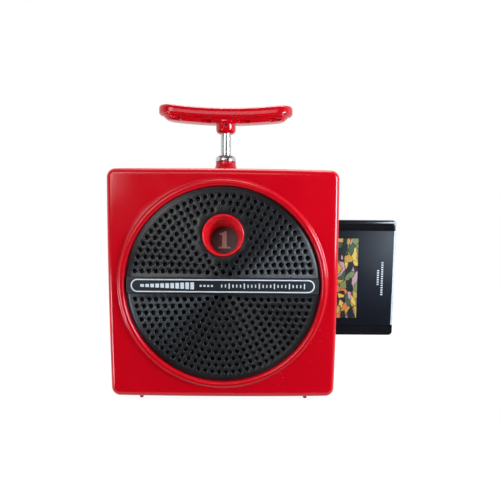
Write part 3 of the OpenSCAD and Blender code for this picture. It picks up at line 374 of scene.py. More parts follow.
def art_material():
    """Generic patchwork of leaf-like shapes in yellow, green, orange, pink and black."""
    n = Nodes("label_art")
    warp = n.add("TexNoise", Scale=60, Detail=3.0, Vector=n.coords())
    place = n.math("MULTIPLY_ADD", warp.outputs["Color"], (0.012, 0.012, 0.012), n.coords((1.0, 1.0, 0.55)),
                   kind="VectorMath")
    cells = n.add("TexVoronoi", Scale=230, Vector=place)
    pick = n.add("SeparateColor", Color=cells.outputs["Color"])
    colours = n.ramp(pick.outputs[0], [
        (0.0, (0.015, 0.02, 0.02)), (0.2, (0.05, 0.12, 0.07)), (0.32, (0.55, 0.36, 0.06)),
        (0.46, (0.02, 0.03, 0.03)), (0.56, (0.62, 0.2, 0.06)), (0.68, (0.2, 0.26, 0.1)),
        (0.8, (0.5, 0.34, 0.36)), (0.92, (0.7, 0.52, 0.1))], "CONSTANT")
    edge = n.add("TexVoronoi", Scale=230, Vector=place)
    edge.feature = "DISTANCE_TO_EDGE"
    line = n.spread(edge.outputs["Distance"], 0.02, 0.06, 1, 0)
    return n.finish(Base_Color=n.mix(line, colours, (0.012, 0.014, 0.015)),
                    Roughness=n.spread(n.noise(80, 3), 0.3, 0.7, 0.3, 0.45))


RED = moulded("red_plastic", (0.60, 0.0012, 0.009), (0.565, 0.001, 0.008), 0.15, 0.010,
              specks=0.5, shine=0.42)
RED_DEEP = moulded("red_inner", (0.84, 0.006, 0.018), (0.80, 0.0055, 0.016), 0.26, 0.02)
BLACK = moulded("black_plastic", (0.014, 0.014, 0.016), (0.010, 0.010, 0.012), 0.34, 0.05)
BLACK_GLOSS = moulded("cartridge_black", (0.009, 0.009, 0.011), (0.007, 0.007, 0.009), 0.16, 0.02,
                      specks=0.25, shine=0.4, speck_colour=(0.3, 0.3, 0.33))
GRILLE = grille_material()
PRINT = moulded("silver_print", (0.74, 0.77, 0.80), (0.66, 0.69, 0.72), 0.35, 0.03)
HANDLE_RED = moulded("handle_red", (0.60, 0.0018, 0.010), (0.565, 0.0016, 0.009), 0.12, 0.002)
CHROME = metal("chrome", (0.58, 0.63, 0.62), 0.24, (1, 1, 0.05), 300, 0.01)
STEEL = metal("steel", (0.55, 0.55, 0.54), 0.36, (1, 1, 0.1), 260, 0.12)
BRASS = metal("brass", (0.62, 0.42, 0.16), 0.3, (1, 0.1, 1), 300, 0.1)
MAGNET = metal("magnet", (0.08, 0.08, 0.085), 0.55, (1, 1, 1), 120, 0.3)
GLASS = glass_material()
DIAL_GREY = moulded("dial_grey", (0.11, 0.11, 0.115), (0.085, 0.085, 0.09), 0.4, 0.05)
DIGIT = moulded("dial_white", (1.0, 0.92, 0.9), (0.8, 0.7, 0.68), 0.45, 0.04)
WHITE = moulded("white_plastic", (0.72, 0.71, 0.66), (0.64, 0.63, 0.58), 0.4, 0.04)
LABEL = moulded("label_navy", (0.0065, 0.008, 0.014), (0.005, 0.006, 0.010), 0.4, 0.01,
                specks=0.3, shine=0.15, speck_colour=(0.25, 0.25, 0.3))
ART = art_material()
PAPER = moulded("paper_white", (0.62, 0.72, 0.76), (0.56, 0.66, 0.70), 0.55, 0.06)
RUBBER = moulded("rubber", (0.012, 0.012, 0.012), (0.02, 0.02, 0.02), 0.62, 0.2)
CARD = moulded("card_black", (0.02, 0.018, 0.016), (0.03, 0.027, 0.024), 0.8, 0.4)
BOARD = moulded("phenolic_board", (0.34, 0.2, 0.07), (0.26, 0.15, 0.05), 0.5, 0.15)
PARTS = moulded("part_sleeve", (0.05, 0.08, 0.2), (0.03, 0.05, 0.14), 0.35, 0.05)
CELL = moulded("cell_jacket", (0.05, 0.1, 0.28), (0.03, 0.07, 0.2), 0.3, 0.04)
TAPE = moulded("wound_tape", (0.06, 0.03, 0.018), (0.03, 0.015, 0.01), 0.3, 0.25)
FELT = moulded("felt_pad", (0.45, 0.36, 0.2), (0.36, 0.28, 0.15), 0.9, 0.5)


# ---------- case ----------

def base_outline(half, r):
    """Rounded square in (x, z) about the case's middle, as one loop."""
    points = []
    for q in range(4):
        c, s = round(math.cos(q * math.pi / 2)), round(math.sin(q * math.pi / 2))
        side = [(half, -(half - r) + 2 * (half - r) * i / SIDE_STEPS) for i in range(SIDE_STEPS)]
        corner = corner_arc(half - r, half - r, r, 0, 90, CORNER_STEPS)[:-1]
        points += [(x * c - z * s, x * s + z * c) for x, z in side + corner]
    return points


ANGLES = [math.atan2(z, x) for x, z in base_outline(HALF, CORNER_R)]


def outline(inset, y):
    """Loop round the case at depth y, inset from its crowned sides."""
    r = max(CORNER_R - inset, 0.8)
    return [Vector((CX + x * (1 - BOW * (z / HALF) ** 2), y, MID_Z + z * (1 - BOW * (x / HALF) ** 2)))
            for x, z in base_outline(HALF - inset, r)]


def circle(r, y):
    """Loop round the grille's middle, at the same angles as the outline's points."""
    return [Vector((CX + r * math.cos(a), y, MID_Z + r * math.sin(a))) for a in ANGLES]


def blend_loops(a, b, share):
    return [p.lerp(q, share) for p, q in zip(a, b)]


def foot(y, side):
    seat = UNDER + 0.6
    return turned("foot", [(0, 0), (1.2, 0), (1.5, 0.3), (2.4, seat), (0, seat)],
                  (CX + side * FOOT_X, y, 0), "Z", 32)


def collar():
    """Flared socket on top of the case that carries the ferrule."""
    height = 11.6
    bore = 5.4
    steps = 16
    profile = [(bore, -1.5), (16, -1.5)]
    for i in range(steps + 1):
        t = 1 - i / steps
        profile.append((8.75 + 7.25 * t ** 2.2, height * (1 - t) - 0.2))
    profile += [(8.5, height), (bore, height)]
    return turned("collar", profile, (ROD_X, ROD_Y, TOP), "Z", 72)


def jack_notches():
    """Square notches that the two shells share round the sockets, wider inside."""
    cutters = []
    for jack in ("power_jack", "earphone_jack"):
        _, y, z = span(jack)[2]
        for x, half in ((LEFT - WALL, 4.2), (LEFT + 2.55, 6.4)):
            cutters.append(block((x, y - half, z - half), (LEFT + 5, y + half, z + half)))
    return cutters


def front_shell():
    inner = outline(WALL, IN_FRONT)
    ledge_r = RING_IN - LEDGE
    rim = circle(ledge_r, IN_FRONT)
    loops = [blend_loops(rim, inner, 0.5), rim]
    loops += [circle(r, y) for r, y in ((ledge_r, IN_FRONT - 1), (RING_IN - 0.2, IN_FRONT - 1),
                                        (RING_IN, IN_FRONT - 1.2), (RING_IN, FRONT - 0.4))]
    for i in range(1, RING_STEPS):
        a = math.radians(180 * i / RING_STEPS)
        loops.append(circle(RING_IN + (RING_OUT - RING_IN) / 2 * (1 - math.cos(a)),
                            FRONT - 0.1 - (RING_H - 0.1) * math.sin(a)))
    loops += [circle(RING_OUT + out, FRONT - up) for out, up in ((0.1, 0.35), (0.45, 0.08), (1.0, 0))]
    start = loops[-1]
    flat_edge = outline(EDGE_R + 0.6, FRONT)
    loops += [blend_loops(start, flat_edge, t) for t in (0.12, 0.5, 0.88)] + [flat_edge]
    loops += [outline(EDGE_R * (1 - math.sin(a)), FRONT + EDGE_R * (1 - math.cos(a))) for a in EDGE_ANGLES]
    end = PART - REVEAL / 2
    side_start = FRONT + EDGE_R
    loops += [outline(0, side_start + (end - side_start) * t) for t in (0.03, 0.3, 0.6, 0.9)]
    loops += [outline(0, end - 0.5), outline(0.15, end - 0.12), outline(0.5, end), outline(WALL, end),
              outline(WALL, end - 1), outline(WALL, IN_FRONT + 2)]
    shell = loft("front_shell", loops + [inner], closed=True)
    play = 0.6
    lip = 2.3
    panel_lo, panel_hi, _ = span("control_panel")
    cutters = [block((RIGHT - 2 * WALL, cover_lo.y - play, cover_lo.z - play),
                     (RIGHT + WALL, base_hi.y + play, cover_hi.z + play), 0.5),
               block((LEFT - WALL, panel_lo.y + lip, panel_lo.z + lip),
                     (LEFT + 2 * WALL, panel_hi.y - lip, panel_hi.z - lip), 0.8)]
    cutters += jack_notches() + [cylinder(8, -8, 1, (ROD_X, ROD_Y, TOP), "Z", 48)]
    carve(shell, cutters)
    whole = join("front_shell", [shell, collar(), foot(FRONT + FOOT_IN, -1), foot(FRONT + FOOT_IN, 1)])
    dress(whole, RED, "case", 30, ("front_case",))


DOOR_PIN = 2               # how far a pin of the door stands out of its side
DOOR_GAP = 0.35
DOOR_SILL = 0.8            # gap under the door, where its lower edge turns
VENT_X, VENT_Z = 34, 109.2   # middles of the lowest two vents, from the case's middle and underside
VENT_STEP = 7
SCREW_X = 85
SCREW_ZS = (12, 174)       # heights of the case screws over the underside


def rear_shell():
    start = PART + REVEAL / 2
    fit = 0.2
    tongue = 1.4        # thickness of the inner edge
    centre = [Vector((CX, IN_BACK, MID_Z))] * len(ANGLES)
    middle = [Vector((CX, BACK, MID_Z))] * len(ANGLES)
    inner = outline(WALL, IN_BACK)
    tip = PART - TONGUE
    loops = [blend_loops(centre, inner, t) for t in (0.1, 0.5)]
    loops += [inner, outline(WALL, start + 2.2), outline(WALL + tongue, start + 2)]
    loops += [outline(WALL + tongue, tip), outline(WALL + fit + 0.2, tip), outline(WALL + fit, tip + 0.3),
              outline(WALL + fit, start), outline(0.5, start), outline(0.15, start + 0.12),
              outline(0, start + 0.5)]
    side_end = BACK - EDGE_R
    loops += [outline(0, start + (side_end - start) * t) for t in (0.1, 0.5, 0.9, 1.0)]
    loops += [outline(EDGE_R * (1 - math.cos(a)), side_end + EDGE_R * math.sin(a)) for a in EDGE_ANGLES]
    face = outline(EDGE_R + 0.6, BACK)
    loops += [face] + [blend_loops(middle, face, t) for t in (0.9, 0.5, 0.1)]
    shell = loft("rear_shell", loops)
    door_lo, door_hi, _ = span("battery_door")
    cutters = jack_notches()
    cutters.append(block((door_lo.x + DOOR_PIN - DOOR_GAP, IN_BACK - 1, door_lo.z - DOOR_SILL),
                         (door_hi.x - DOOR_PIN + DOOR_GAP, BACK + 1, door_hi.z + DOOR_GAP), 0.5))
    for row in range(7):
        z = UNDER + VENT_Z + VENT_STEP * row
        for x in (CX - VENT_X, CX + VENT_X):
            cutters.append(block((x - 22, IN_BACK - 1, z - 1.2), (x + 22, BACK + 1, z + 1.2), 1.1))
    tubes = []
    seat_y = PART + 14
    depth = IN_BACK - seat_y + 0.1
    for x in (CX - SCREW_X, CX + SCREW_X):
        for z in SCREW_ZS:
            cutters.append(cylinder(3.2, 0, 9, (x, IN_BACK - 4, UNDER + z), "Y", 40))
            tubes.append(turned("tube", [(1.7, -2), (4, -2), (4, depth), (3.2, depth), (3.2, 0), (1.7, 0)],
                                (x, seat_y, UNDER + z), "Y", 40))
    carve(shell, cutters)
    whole = join("rear_shell", [shell] + tubes + [foot(BACK - FOOT_IN, -1), foot(BACK - FOOT_IN, 1)])
    dress(whole, RED, "case", 30, ("rear_case",))


def door_panel():
    lo, hi, middle = span("battery_door")
    rib = 0.7
    skin = hi.y - rib
    left, right = lo.x + DOOR_PIN, hi.x - DOOR_PIN
    parts = [block((left, skin - 2.4, lo.z), (right, skin, hi.z), 0.5)]
    for i in range(5):
        z = hi.z - 14 + 2.4 * i
        parts.append(block((middle.x - 12, skin - 0.3, z), (middle.x + 12, hi.y, z + 1), 0.35))
    for x, side in ((left, -1), (right, 1)):
        parts.append(cylinder(0.8, -side * 0.5, side * DOOR_PIN, (x, skin - 1.2, lo.z + 1.2), "X", 24))
    dress(join("door_panel", parts), RED, "door", 30, ("battery_door",))


# ---------- grille and band ----------

FACE_R = 75.2              # flat part of the grille's face
HOLE_PITCH = 5.5
HOLE_RINGS = 13
HOLE_R = 1.92
SINK_R = 2.2
HOLE_SIDES = 16
BAND_CLEAR = 1             # from the bar's edge to the middle of a hole
FUNNEL_CLEAR = 4.2         # from the funnel's edge to the middle of a hole
FUNNEL_R = 16.6


def hole_centres():
    """Six holes more in each ring, none under the band or near the funnel."""
    band_half = (band_hi.z - band_lo.z) / 2
    centres = []
    for k in range(1, HOLE_RINGS + 1):
        for j in range(6 * k):
            a = math.radians(60 * j / k)
            x, z = k * HOLE_PITCH * math.cos(a), k * HOLE_PITCH * math.sin(a)
            away = math.hypot(x, z - (FUNNEL_Z - MID_Z))
            if abs(z) > band_half + BAND_CLEAR and away > FUNNEL_R + FUNNEL_CLEAR:
                centres.append((x, z))
    return centres


def ring_points(centre, r, sides):
    return [(centre[0] + r * math.cos(TAU * i / sides), centre[1] + r * math.sin(TAU * i / sides))
            for i in range(sides)]


def grille_disc():
    """Perforated disc: one triangulated face in front, one behind, and rings down every hole."""
    loops = [((0.0, 0.0), FACE_R, 240), ((0.0, FUNNEL_Z - MID_Z), FUNNEL_R + 0.8, 72)]
    loops += [(centre, SINK_R, HOLE_SIDES) for centre in hole_centres()]
    flat, owner, starts = [], [], []
    for index, (centre, r, sides) in enumerate(loops):
        starts.append(len(flat))
        flat += ring_points(centre, r, sides)
        owner += [index] * sides
    edges = [(s + i, s + (i + 1) % n) for s, (_, _, n) in zip(starts, loops) for i in range(n)]
    result = delaunay_2d_cdt([Vector((x * MM, z * MM)) for x, z in flat], edges, [], 0, 1e-9)
    triangles = [t for t in result[2] if not (len({owner[i] for i in t}) == 1 and owner[t[0]] > 0)]

    def place(x, z, depth):
        return Vector((CX + x, grille_lo.y + depth, MID_Z + z))

    verts = [place(x, z, 0) for x, z in flat]
    faces = [tuple(t) for t in triangles]
    # Rings of (radius, depth) inwards from the front face: at the rim, round the window and in a hole.
    rim = [(75.9, 0.06), (76.6, 0.3), (77.0, 0.75), (77.3, 0.95), (78.0, 1.0), (78.6, 1.2), (78.9, 1.6)]
    walls = {0: rim, 1: [(17.3, 0.05), (17.25, 0.3)]}
    sink = [(2.08, 0.06), (1.97, 0.18), (HOLE_R, 0.45)]
    back_start = []
    for index, (centre, _, n) in enumerate(loops):
        previous = starts[index]
        steps = walls.get(index, sink)
        last_r = (grille_hi.x - grille_lo.x) / 2 if index == 0 else steps[-1][0]
        for r, depth in steps + [(last_r, grille_hi.y - grille_lo.y)]:
            start = len(verts)
            verts += [place(x, z, depth) for x, z in ring_points(centre, r, n)]
            faces += ring_faces(previous, start, n)
            previous = start
        back_start.append(previous)
    behind = [back_start[o] + (i - starts[o]) for i, o in enumerate(owner)]
    faces += [tuple(behind[i] for i in reversed(t)) for t in triangles]
    dress(make_object("grille_disc", verts, faces), GRILLE, "case", 40, ("grille",))


def stadium(length, height, sides):
    """Outline with half-round ends in (x, z) about the middle of the grille."""
    r = height / 2
    x = length / 2 - r
    turns = [math.pi * i / sides for i in range(sides + 1)]
    right = [(x + r * math.sin(a), -r * math.cos(a)) for a in turns]
    left = [(-px, -pz) for px, pz in right]
    return right + left


def rounded(width, height):
    """Upright tick with small round corners."""
    r = 0.2
    corners = [(width / 2 - r, height / 2 - r, 0), (r - width / 2, height / 2 - r, 90),
               (r - width / 2, r - height / 2, 180), (width / 2 - r, r - height / 2, 270)]
    return [(x + r * math.cos(math.radians(a + 30 * k)), z + r * math.sin(math.radians(a + 30 * k)))
            for x, z, a in corners for k in range(4)]


def pad(points, y_back, y_front, round_r, name):
    """A flat raised shape with a rounded front edge, from an outline in (x, z)."""
    n = len(points)
    middle = Vector((sum(p[0] for p in points) / n, sum(p[1] for p in points) / n))
    loops = []

    def shrunk(amount):
        out = []
        for i, p in enumerate(points):
            before, after = Vector(points[i - 1]), Vector(points[(i + 1) % n])
            along = (after - before).normalized()
            normal = Vector((along.y, -along.x))
            if normal.dot(Vector(p) - middle) < 0:
                normal = -normal
            out.append(Vector(p) - normal * amount)
        return out

    rows = [(0, y_back), (0, y_front + round_r)]
    rows += [(round_r * (1 - math.cos(math.radians(a))), y_front + round_r * (1 - math.sin(math.radians(a))))
             for a in (30, 60, 90)]
    for inset, y in rows:
        loops.append([Vector((CX + p[0], y, MID_Z + p[1])) for p in shrunk(inset)])
    return loft(name, loops)


def name_band():
    half = (band_hi.z - band_lo.z) / 2
    r = (band_hi.x - band_lo.x) / 2
    edge = math.degrees(math.asin(half / r))
    right = corner_arc(0, 0, r, -edge, edge, 12)
    points = right + [(-x, -z) for x, z in right]
    bar = pad(points, grille_lo.y + 0.05, band_lo.y, 0.45, "band_bar")
    dress(bar, BLACK, "case", 35, ("name_band",))


def tube_path(name, points, width, height, y_back):
    """A raised rounded line along a closed outline."""
    n = len(points)
    loops = []
    section = [(-0.5, 0), (-0.42, 0.6), (-0.2, 0.95), (0.2, 0.95), (0.42, 0.6), (0.5, 0)]
    for i, p in enumerate(points):
        along = (Vector(points[(i + 1) % n]) - Vector(points[i - 1])).normalized()
        normal = Vector((along.y, -along.x))
        loop = []
        for across, up in section:
            q = Vector(p) + normal * across * width
            loop.append(Vector((CX + q.x, y_back - up * height, MID_Z + q.y)))
        loops.append(loop)
    return loft(name, loops, closed=True)


PILL_LEN = 147.6
PILL_H = 10.6
LINE_W = 1.0


def band_trim():
    """Silver outline, a row of growing bars, four dots and a plain scale of ticks."""
    y = band_lo.y
    bead = tube_path("band_trim", stadium(PILL_LEN - LINE_W, PILL_H - LINE_W, 24), LINE_W, 0.32, y + 0.02)
    dress(bead, PRINT, "case", 50, ("band_outline",))
    marks = [(-64.6 + 4.0 * i, 2.9, 2.2 + 0.34 * i) for i in range(11)]
    marks += [(-17.8 + 3.0 * i, 1.6, 1.6) for i in range(4)]
    marks += [(-1 + 3.02 * i, 0.95, 4.3 if i % 4 == 2 else 2.5) for i in range(23)]
    ticks = [pad([(px + x, pz) for px, pz in rounded(width, tall)], y + 0.02, y - 0.12, 0.1, "mark")
             for x, width, tall in marks]
    dress(join("band_marks", ticks), PRINT, "case", 50)


# ---------- program window ----------

WINDOW_R = 11.1


def round_loop(r, y, z):
    return [Vector((px, y, pz)) for px, pz in ring_points((CX, z), r, 96)]


def funnel_cup():
    front = funnel_lo.y
    window = lens_lo.y
    back = lens_hi.y
    lip = 0.6
    loops = [round_loop(WINDOW_R + 1, back, LENS_Z), round_loop(WINDOW_R + 2, back, LENS_Z),
             round_loop(FUNNEL_R - 1, grille_hi.y + 1.2, FUNNEL_Z),
             round_loop(FUNNEL_R + 3, grille_hi.y + 1.2, FUNNEL_Z),
             round_loop(FUNNEL_R + 3, grille_hi.y + 0.3, FUNNEL_Z),
             round_loop(FUNNEL_R, grille_hi.y + 0.3, FUNNEL_Z)]
    for i in range(9):
        a = math.radians(180 * i / 8)
        r = FUNNEL_R - lip * (1 - math.cos(a))
        loops.append(round_loop(r, front + lip * (1 - math.sin(a)), FUNNEL_Z))
    steps = 14
    top_r = FUNNEL_R - 2 * lip
    for i in range(1, steps + 1):
        t = i / steps
        r = top_r + (WINDOW_R - top_r) * t ** 0.85
        y = front + lip + (window - front - lip) * t
        loops.append(round_loop(r, y, FUNNEL_Z + (LENS_Z - FUNNEL_Z) * t))
    loops.append(round_loop(WINDOW_R + 1, window, LENS_Z))
    dress(loft("funnel_cup", loops, closed=True), RED_DEEP, "case", 40, ("indicator_funnel",))


def window_lens():
    r = WINDOW_R + 0.9
    thick = lens_hi.y - lens_lo.y
    profile = [(0, 0), (r * 0.6, 0.04), (r - 0.3, 0.12), (r, 0.35), (r, thick), (0, thick)]
    lens = turned("window_lens", profile, (CX, lens_lo.y, LENS_Z), "Y", 72)
    dress(lens, GLASS, "case", 30, ("indicator_lens",))


def stroke(points, width):
    """A flat band of even width along a path, as quads in (x, z)."""
    sides = []
    for i, p in enumerate(points):
        before = Vector(points[max(i - 1, 0)])
        after = Vector(points[min(i + 1, len(points) - 1)])
        along = (after - before).normalized()
        normal = Vector((-along.y, along.x)) * width / 2
        sides.append((Vector(p) + normal, Vector(p) - normal))
    return [[sides[i][0], sides[i + 1][0], sides[i + 1][1], sides[i][1]] for i in range(len(sides) - 1)]


def numerals():
    """The dial's four plain numbers, each as polygons in millimetres about its own middle."""
    one = [[(-5.0, -7.2), (5.4, -7.2), (5.4, -6.2), (2.9, -5.9), (2.0, -5.2), (2.0, 7.2), (0.9, 7.2),
            (-1.4, 5.9), (-4.2, 5.3), (-4.2, 4.4), (-2.6, 4.3), (-1.7, 3.7), (-1.7, -5.2), (-2.5, -5.9),
            (-5.0, -6.2)]]
    top = corner_arc(0, 3.2, 3.2, 170, -30, 12)
    two = stroke(top + [(-4.0, -6.2)], 1.9) + stroke([(-4.6, -6.2), (4.6, -6.2)], 1.9)
    three = stroke(corner_arc(-0.2, 3.2, 3.0, 160, -80, 12), 1.9)
    three += stroke(corner_arc(-0.2, -3.2, 3.4, 80, -160, 12), 1.9)
    four = stroke([(1.6, 7.0), (-4.6, -2.6)], 1.7) + stroke([(-5.0, -2.6), (4.8, -2.6)], 1.9)
    four += stroke([(1.6, 7.1), (1.6, -7.1)], 2.4)
    return [one, two, three, four]


def number_disc():
    """The dial wheel with its rim, hub and numbers 1 to 4."""
    axis_x, y, axis_z = wheel_mid.x, wheel_lo.y, wheel_mid.z
    r = (wheel_hi.x - wheel_lo.x) / 2
    hub = wheel_hi.y - y
    thick = 1.5
    bore = 2.02
    profile = [(bore, 0), (r - 0.4, 0), (r, 0.4), (r, thick - 0.3), (r - 0.3, thick), (5, thick),
               (5, hub - 0.3), (4.7, hub), (bore, hub)]
    disc = turned("number_disc", profile, (axis_x, y, axis_z), "Y", 96)
    dress(disc, DIAL_GREY, "program", 35, ("number_wheel",))
    verts, faces = [], []
    for k, polygons in enumerate(numerals()):
        c, s = math.cos(math.radians(-90 * k)), math.sin(math.radians(-90 * k))
        for polygon in polygons:
            n = len(polygon)
            back = len(verts)
            front = back + n
            for lift in (0.02, -0.22):
                for px, z in polygon:
                    x = CX - axis_x + px
                    verts.append(Vector((axis_x + x * c + z * s, y + lift, axis_z - x * s + z * c)))
            faces += [tuple(range(back, front)), tuple(range(front, front + n))] + ring_faces(back, front, n)
    digits = make_object("dial_numbers", verts, faces, weld=False)
    dress(digits, DIGIT, "program", 30)


# ---------- plunger ----------

GRIP_LEN = grip_hi.x - grip_lo.x
GRIP_DEEP = grip_hi.y - grip_lo.y
GRIP_RISE = 4.1            # how far the handle's ends rise over its middle
LIP = 3                    # how far the grip's rim hangs under its zero height
GRIP_X, GRIP_Y, _ = grip_mid
GRIP_Z = grip_lo.z + LIP
GRIP_TOP = grip_hi.z - GRIP_RISE - GRIP_Z + 0.6
GRIP_SLOTS = (-43, -16.5, 16.5, 43)      # openings in the grip's underside
END_STEPS = 14
BAR_STEPS = 26


def grip_rise(x):
    return GRIP_RISE * (2 * x / GRIP_LEN) ** 2


def grip_loop(height, inset):
    """Stadium loop of the handle, bent upwards towards its ends."""
    r = GRIP_DEEP / 2 - inset
    flat = GRIP_LEN / 2 - inset - r
    turns = [math.radians(90 * i / END_STEPS) for i in range(END_STEPS)]
    upper = [(-flat - r * math.cos(a), r * math.sin(a)) for a in turns]
    upper += [(-flat + 2 * flat * i / BAR_STEPS, r) for i in range(BAR_STEPS)]
    upper += [(flat + r * math.sin(a), r * math.cos(a)) for a in turns]
    points = upper + [(-x, -y) for x, y in upper]
    return [Vector((GRIP_X + x, GRIP_Y + y, GRIP_Z + height + grip_rise(x))) for x, y in points]


def fill_bar(name, rows):
    """The handle's loft through rows of (height, inset), closed at both ends by strips across the bar."""
    loops = [grip_loop(height, inset) for height, inset in rows]
    n = len(loops[0])
    strips = [dict.fromkeys((i, i + 1, (n - i - 1) % n, (n - i) % n)) for i in range(n // 2)]
    ends = [tuple(first + i for i in strip) for first in (0, (len(loops) - 1) * n) for strip in strips]
    return loft(name, loops, caps=False, ends=ends)


def handle():
    top = GRIP_TOP
    grip = fill_bar("grip_shell", [
        (-2.0, 2.6), (-2.7, 2.2), (-3.0, 1.5), (-2.95, 0.9), (-2.6, 0.35), (-2.0, 0.05), (-1.2, 0), (1.2, 0),
        (top - 2.6, 0.12), (top - 1.7, 0.5), (top - 0.9, 1.25), (top - 0.35, 2.4), (top - 0.08, 4.2),
        (top, 7), (top, 10.5), (top, 13.9)])
    dress(grip, HANDLE_RED, "plunger", 40, ("handle_grip",))
    plate = fill_bar("grip_under", [
        (-6.9, 13.9), (-6.9, 11.4), (-6.8, 9.2), (-6.65, 7.6), (-6.35, 6.7), (-5.95, 6.35), (-5.5, 6.1),
        (-5.35, 5.3), (-5.0, 4.75), (-4.5, 4.55), (-4.05, 4.3), (-3.9, 3.5), (-3.6, 2.9), (-3.0, 2.65),
        (-1.5, 2.65)])
    slots = [(GRIP_X + x, GRIP_Z + grip_rise(x)) for x in GRIP_SLOTS]
    carve(plate, [block((x - 4.6, GRIP_Y - 10.4, z - 8), (x + 4.6, GRIP_Y - 4.6, z - 4.7), 0.3)
                  for x, z in slots])
    foot_z = span("handle_underside")[0].z
    root = GRIP_Z - 5.6 - foot_z        # height at which the socket meets the handle
    bore = 4.54
    wide = 8.6
    profile = [(bore, 0.2), (5.4, 0), (6.4, 0.1), (7.5, 0.8), (8.3, 2.0), (wide, 3.4), (wide, root - 2.2),
               (9.0, root - 0.9), (10.4, root), (10.4, root + 1), (bore, root + 1)]
    boss = turned("boss", profile, (ROD_X, ROD_Y, foot_z), "Z", 64)
    carve(boss, [cylinder(1.25, -3, 2, (ROD_X, ROD_Y - wide, span("handle_pin")[2].z), "Y", 32)])
    dress(join("grip_under", [plate, boss]), HANDLE_RED, "plunger", 50, ("handle_underside",))


def plunger_parts():
    top = rod_hi.z - rod_lo.z
    profile = [(0, 0), (ROD_R - 0.6, 0), (ROD_R, 0.6), (ROD_R, top - 0.4), (ROD_R - 0.4, top), (0, top)]
    rod = turned("rod_chrome", profile, (ROD_X, ROD_Y, rod_lo.z), "Z", 64)
    dress(rod, CHROME, "plunger", 30, ("plunger_rod",))
    lo, hi, _ = span("ferrule")
    h = hi.z - lo.z
    profile = [(5.0, 0), (8.9, 0), (9.0, 0.15), (9.0, 1.5)]
    profile += [(6.2 + 2.8 * math.cos(a), 1.6 + (h - 1.6) * math.sin(a))
                for a in (math.radians(12 * i) for i in range(1, 8))]
    profile += [(5.9, h), (5.2, h - 0.3), (5.0, h - 1.2)]
    dome = turned("ferrule_dome", profile, (ROD_X, ROD_Y, lo.z), "Z", 64)
    dress(dome, CHROME, "case", 35, ("ferrule",))


WIRE_R = 0.6
COILS = 8
COIL_STEPS = 16
WIRE_SIDES = 8


def spring():
    """Return spring: a coil of wire as tall as the CAD spring."""
    lo, hi, (x, y, _) = span("return_spring")
    r = (hi.x - lo.x) / 2 - WIRE_R
    steps = COILS * COIL_STEPS
    loops = []
    for i in range(steps + 1):
        a = TAU * i / COIL_STEPS
        z = lo.z + WIRE_R + (hi.z - lo.z - 2 * WIRE_R) * i / steps
        loops.append([Vector((x + (r + out) * math.cos(a), y + (r + out) * math.sin(a), z + up))
                      for out, up in ring_points((0, 0), WIRE_R, WIRE_SIDES)])
    coil = dress(loft("spring_coil", loops), STEEL, "case", 60, ("return_spring",))
    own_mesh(coil)


# ---------- cartridge ----------

CART_CORNER = 3.2          # radius of its outer corners
CART_EDGE = 0.5
CART_WALL = 1.6
RAIL = 9.1                 # plain strips over and under the label
LABEL_DEEP = 0.5
LABEL_END = -1.7           # where the front label stops, from the cartridge's outer end


def rounded_slab(name, lo, hi, r, edge):
    """Upright slab with rounded outer corners and softened face edges, in the XZ plane."""
    def loop(inset, y):
        points = [(lo.x + inset, lo.z + inset)]
        points += corner_arc(hi.x - r, lo.z + r, r - inset, -90, 0, 8)
        points += corner_arc(hi.x - r, hi.z - r, r - inset, 0, 90, 8)
        points += [(lo.x + inset, hi.z - inset)]
        return [Vector((x, y, z)) for x, z in points]
    rows = [(edge, lo.y), (edge * 0.3, lo.y + edge * 0.3), (0, lo.y + edge), (0, hi.y - edge),
            (edge * 0.3, hi.y - edge * 0.3), (edge, hi.y)]
    return loft(name, [loop(i, y) for i, y in rows])


def cartridge():
    x0, x1 = cover_lo.x, cover_hi.x
    z0, z1 = cover_lo.z, cover_hi.z
    face, back = cover_lo.y, cover_hi.y
    low, high = z0 + RAIL, z1 - RAIL
    in_x0, in_x1 = x0 + CART_WALL, x1 - CART_WALL
    in_z0, in_z1 = z0 + CART_WALL, z1 - CART_WALL
    cutters = [block((in_x0, face + 2.1, in_z0), (in_x1, back + 1, in_z1), 0.3),
               block((x0 + 8, face - 1, low), (x1 + 1, face + LABEL_DEEP, high), 0.1),
               block((x1 - LABEL_DEEP, face - 1, low), (x1 + 1, back + 1, high), 0.1)]
    grooves = [(z, 30, 4.5, 0.45, 0.35, 0.2) for z in (z0 + 4.4, z1 - 4.4)]         # fine lines
    grooves += [(z, 8, 2.2, 0.22, 1.4, 0.08) for z in (low - 1.3, high + 1.3)]      # broad, shallow steps
    for z, start, end, deep, half, bevel in grooves:
        cutters.append(block((x0 + start, face - 1, z - half), (x1 - end, face + deep, z + half), bevel))
    cover = rounded_slab("cartridge_cover", cover_lo, cover_hi, CART_CORNER, CART_EDGE)
    carve(cover, cutters)
    dress(cover, BLACK_GLOSS, "cartridge", 30, ("cart_cover",))
    face, back = base_lo.y, base_hi.y
    cutters = [block((in_x0, face - 1, in_z0), (in_x1, back - CART_WALL, in_z1), 0.3),
               block((x1 - LABEL_DEEP, face - 1, low), (x1 + 1, back + 1, high), 0.1)]
    for i in range(10):
        z = z0 + 14 + 8 * i
        cutters.append(block((x1 - 46, back - 0.4, z), (x1 - 8, back + 1, z + 2), 0.2))
    base = rounded_slab("cartridge_base", base_lo, base_hi, CART_CORNER, CART_EDGE)
    carve(base, cutters)
    dress(base, BLACK_GLOSS, "cartridge", 30, ("cart_base",))
    label_parts(x0, x1, low + 0.2, high - 0.2)


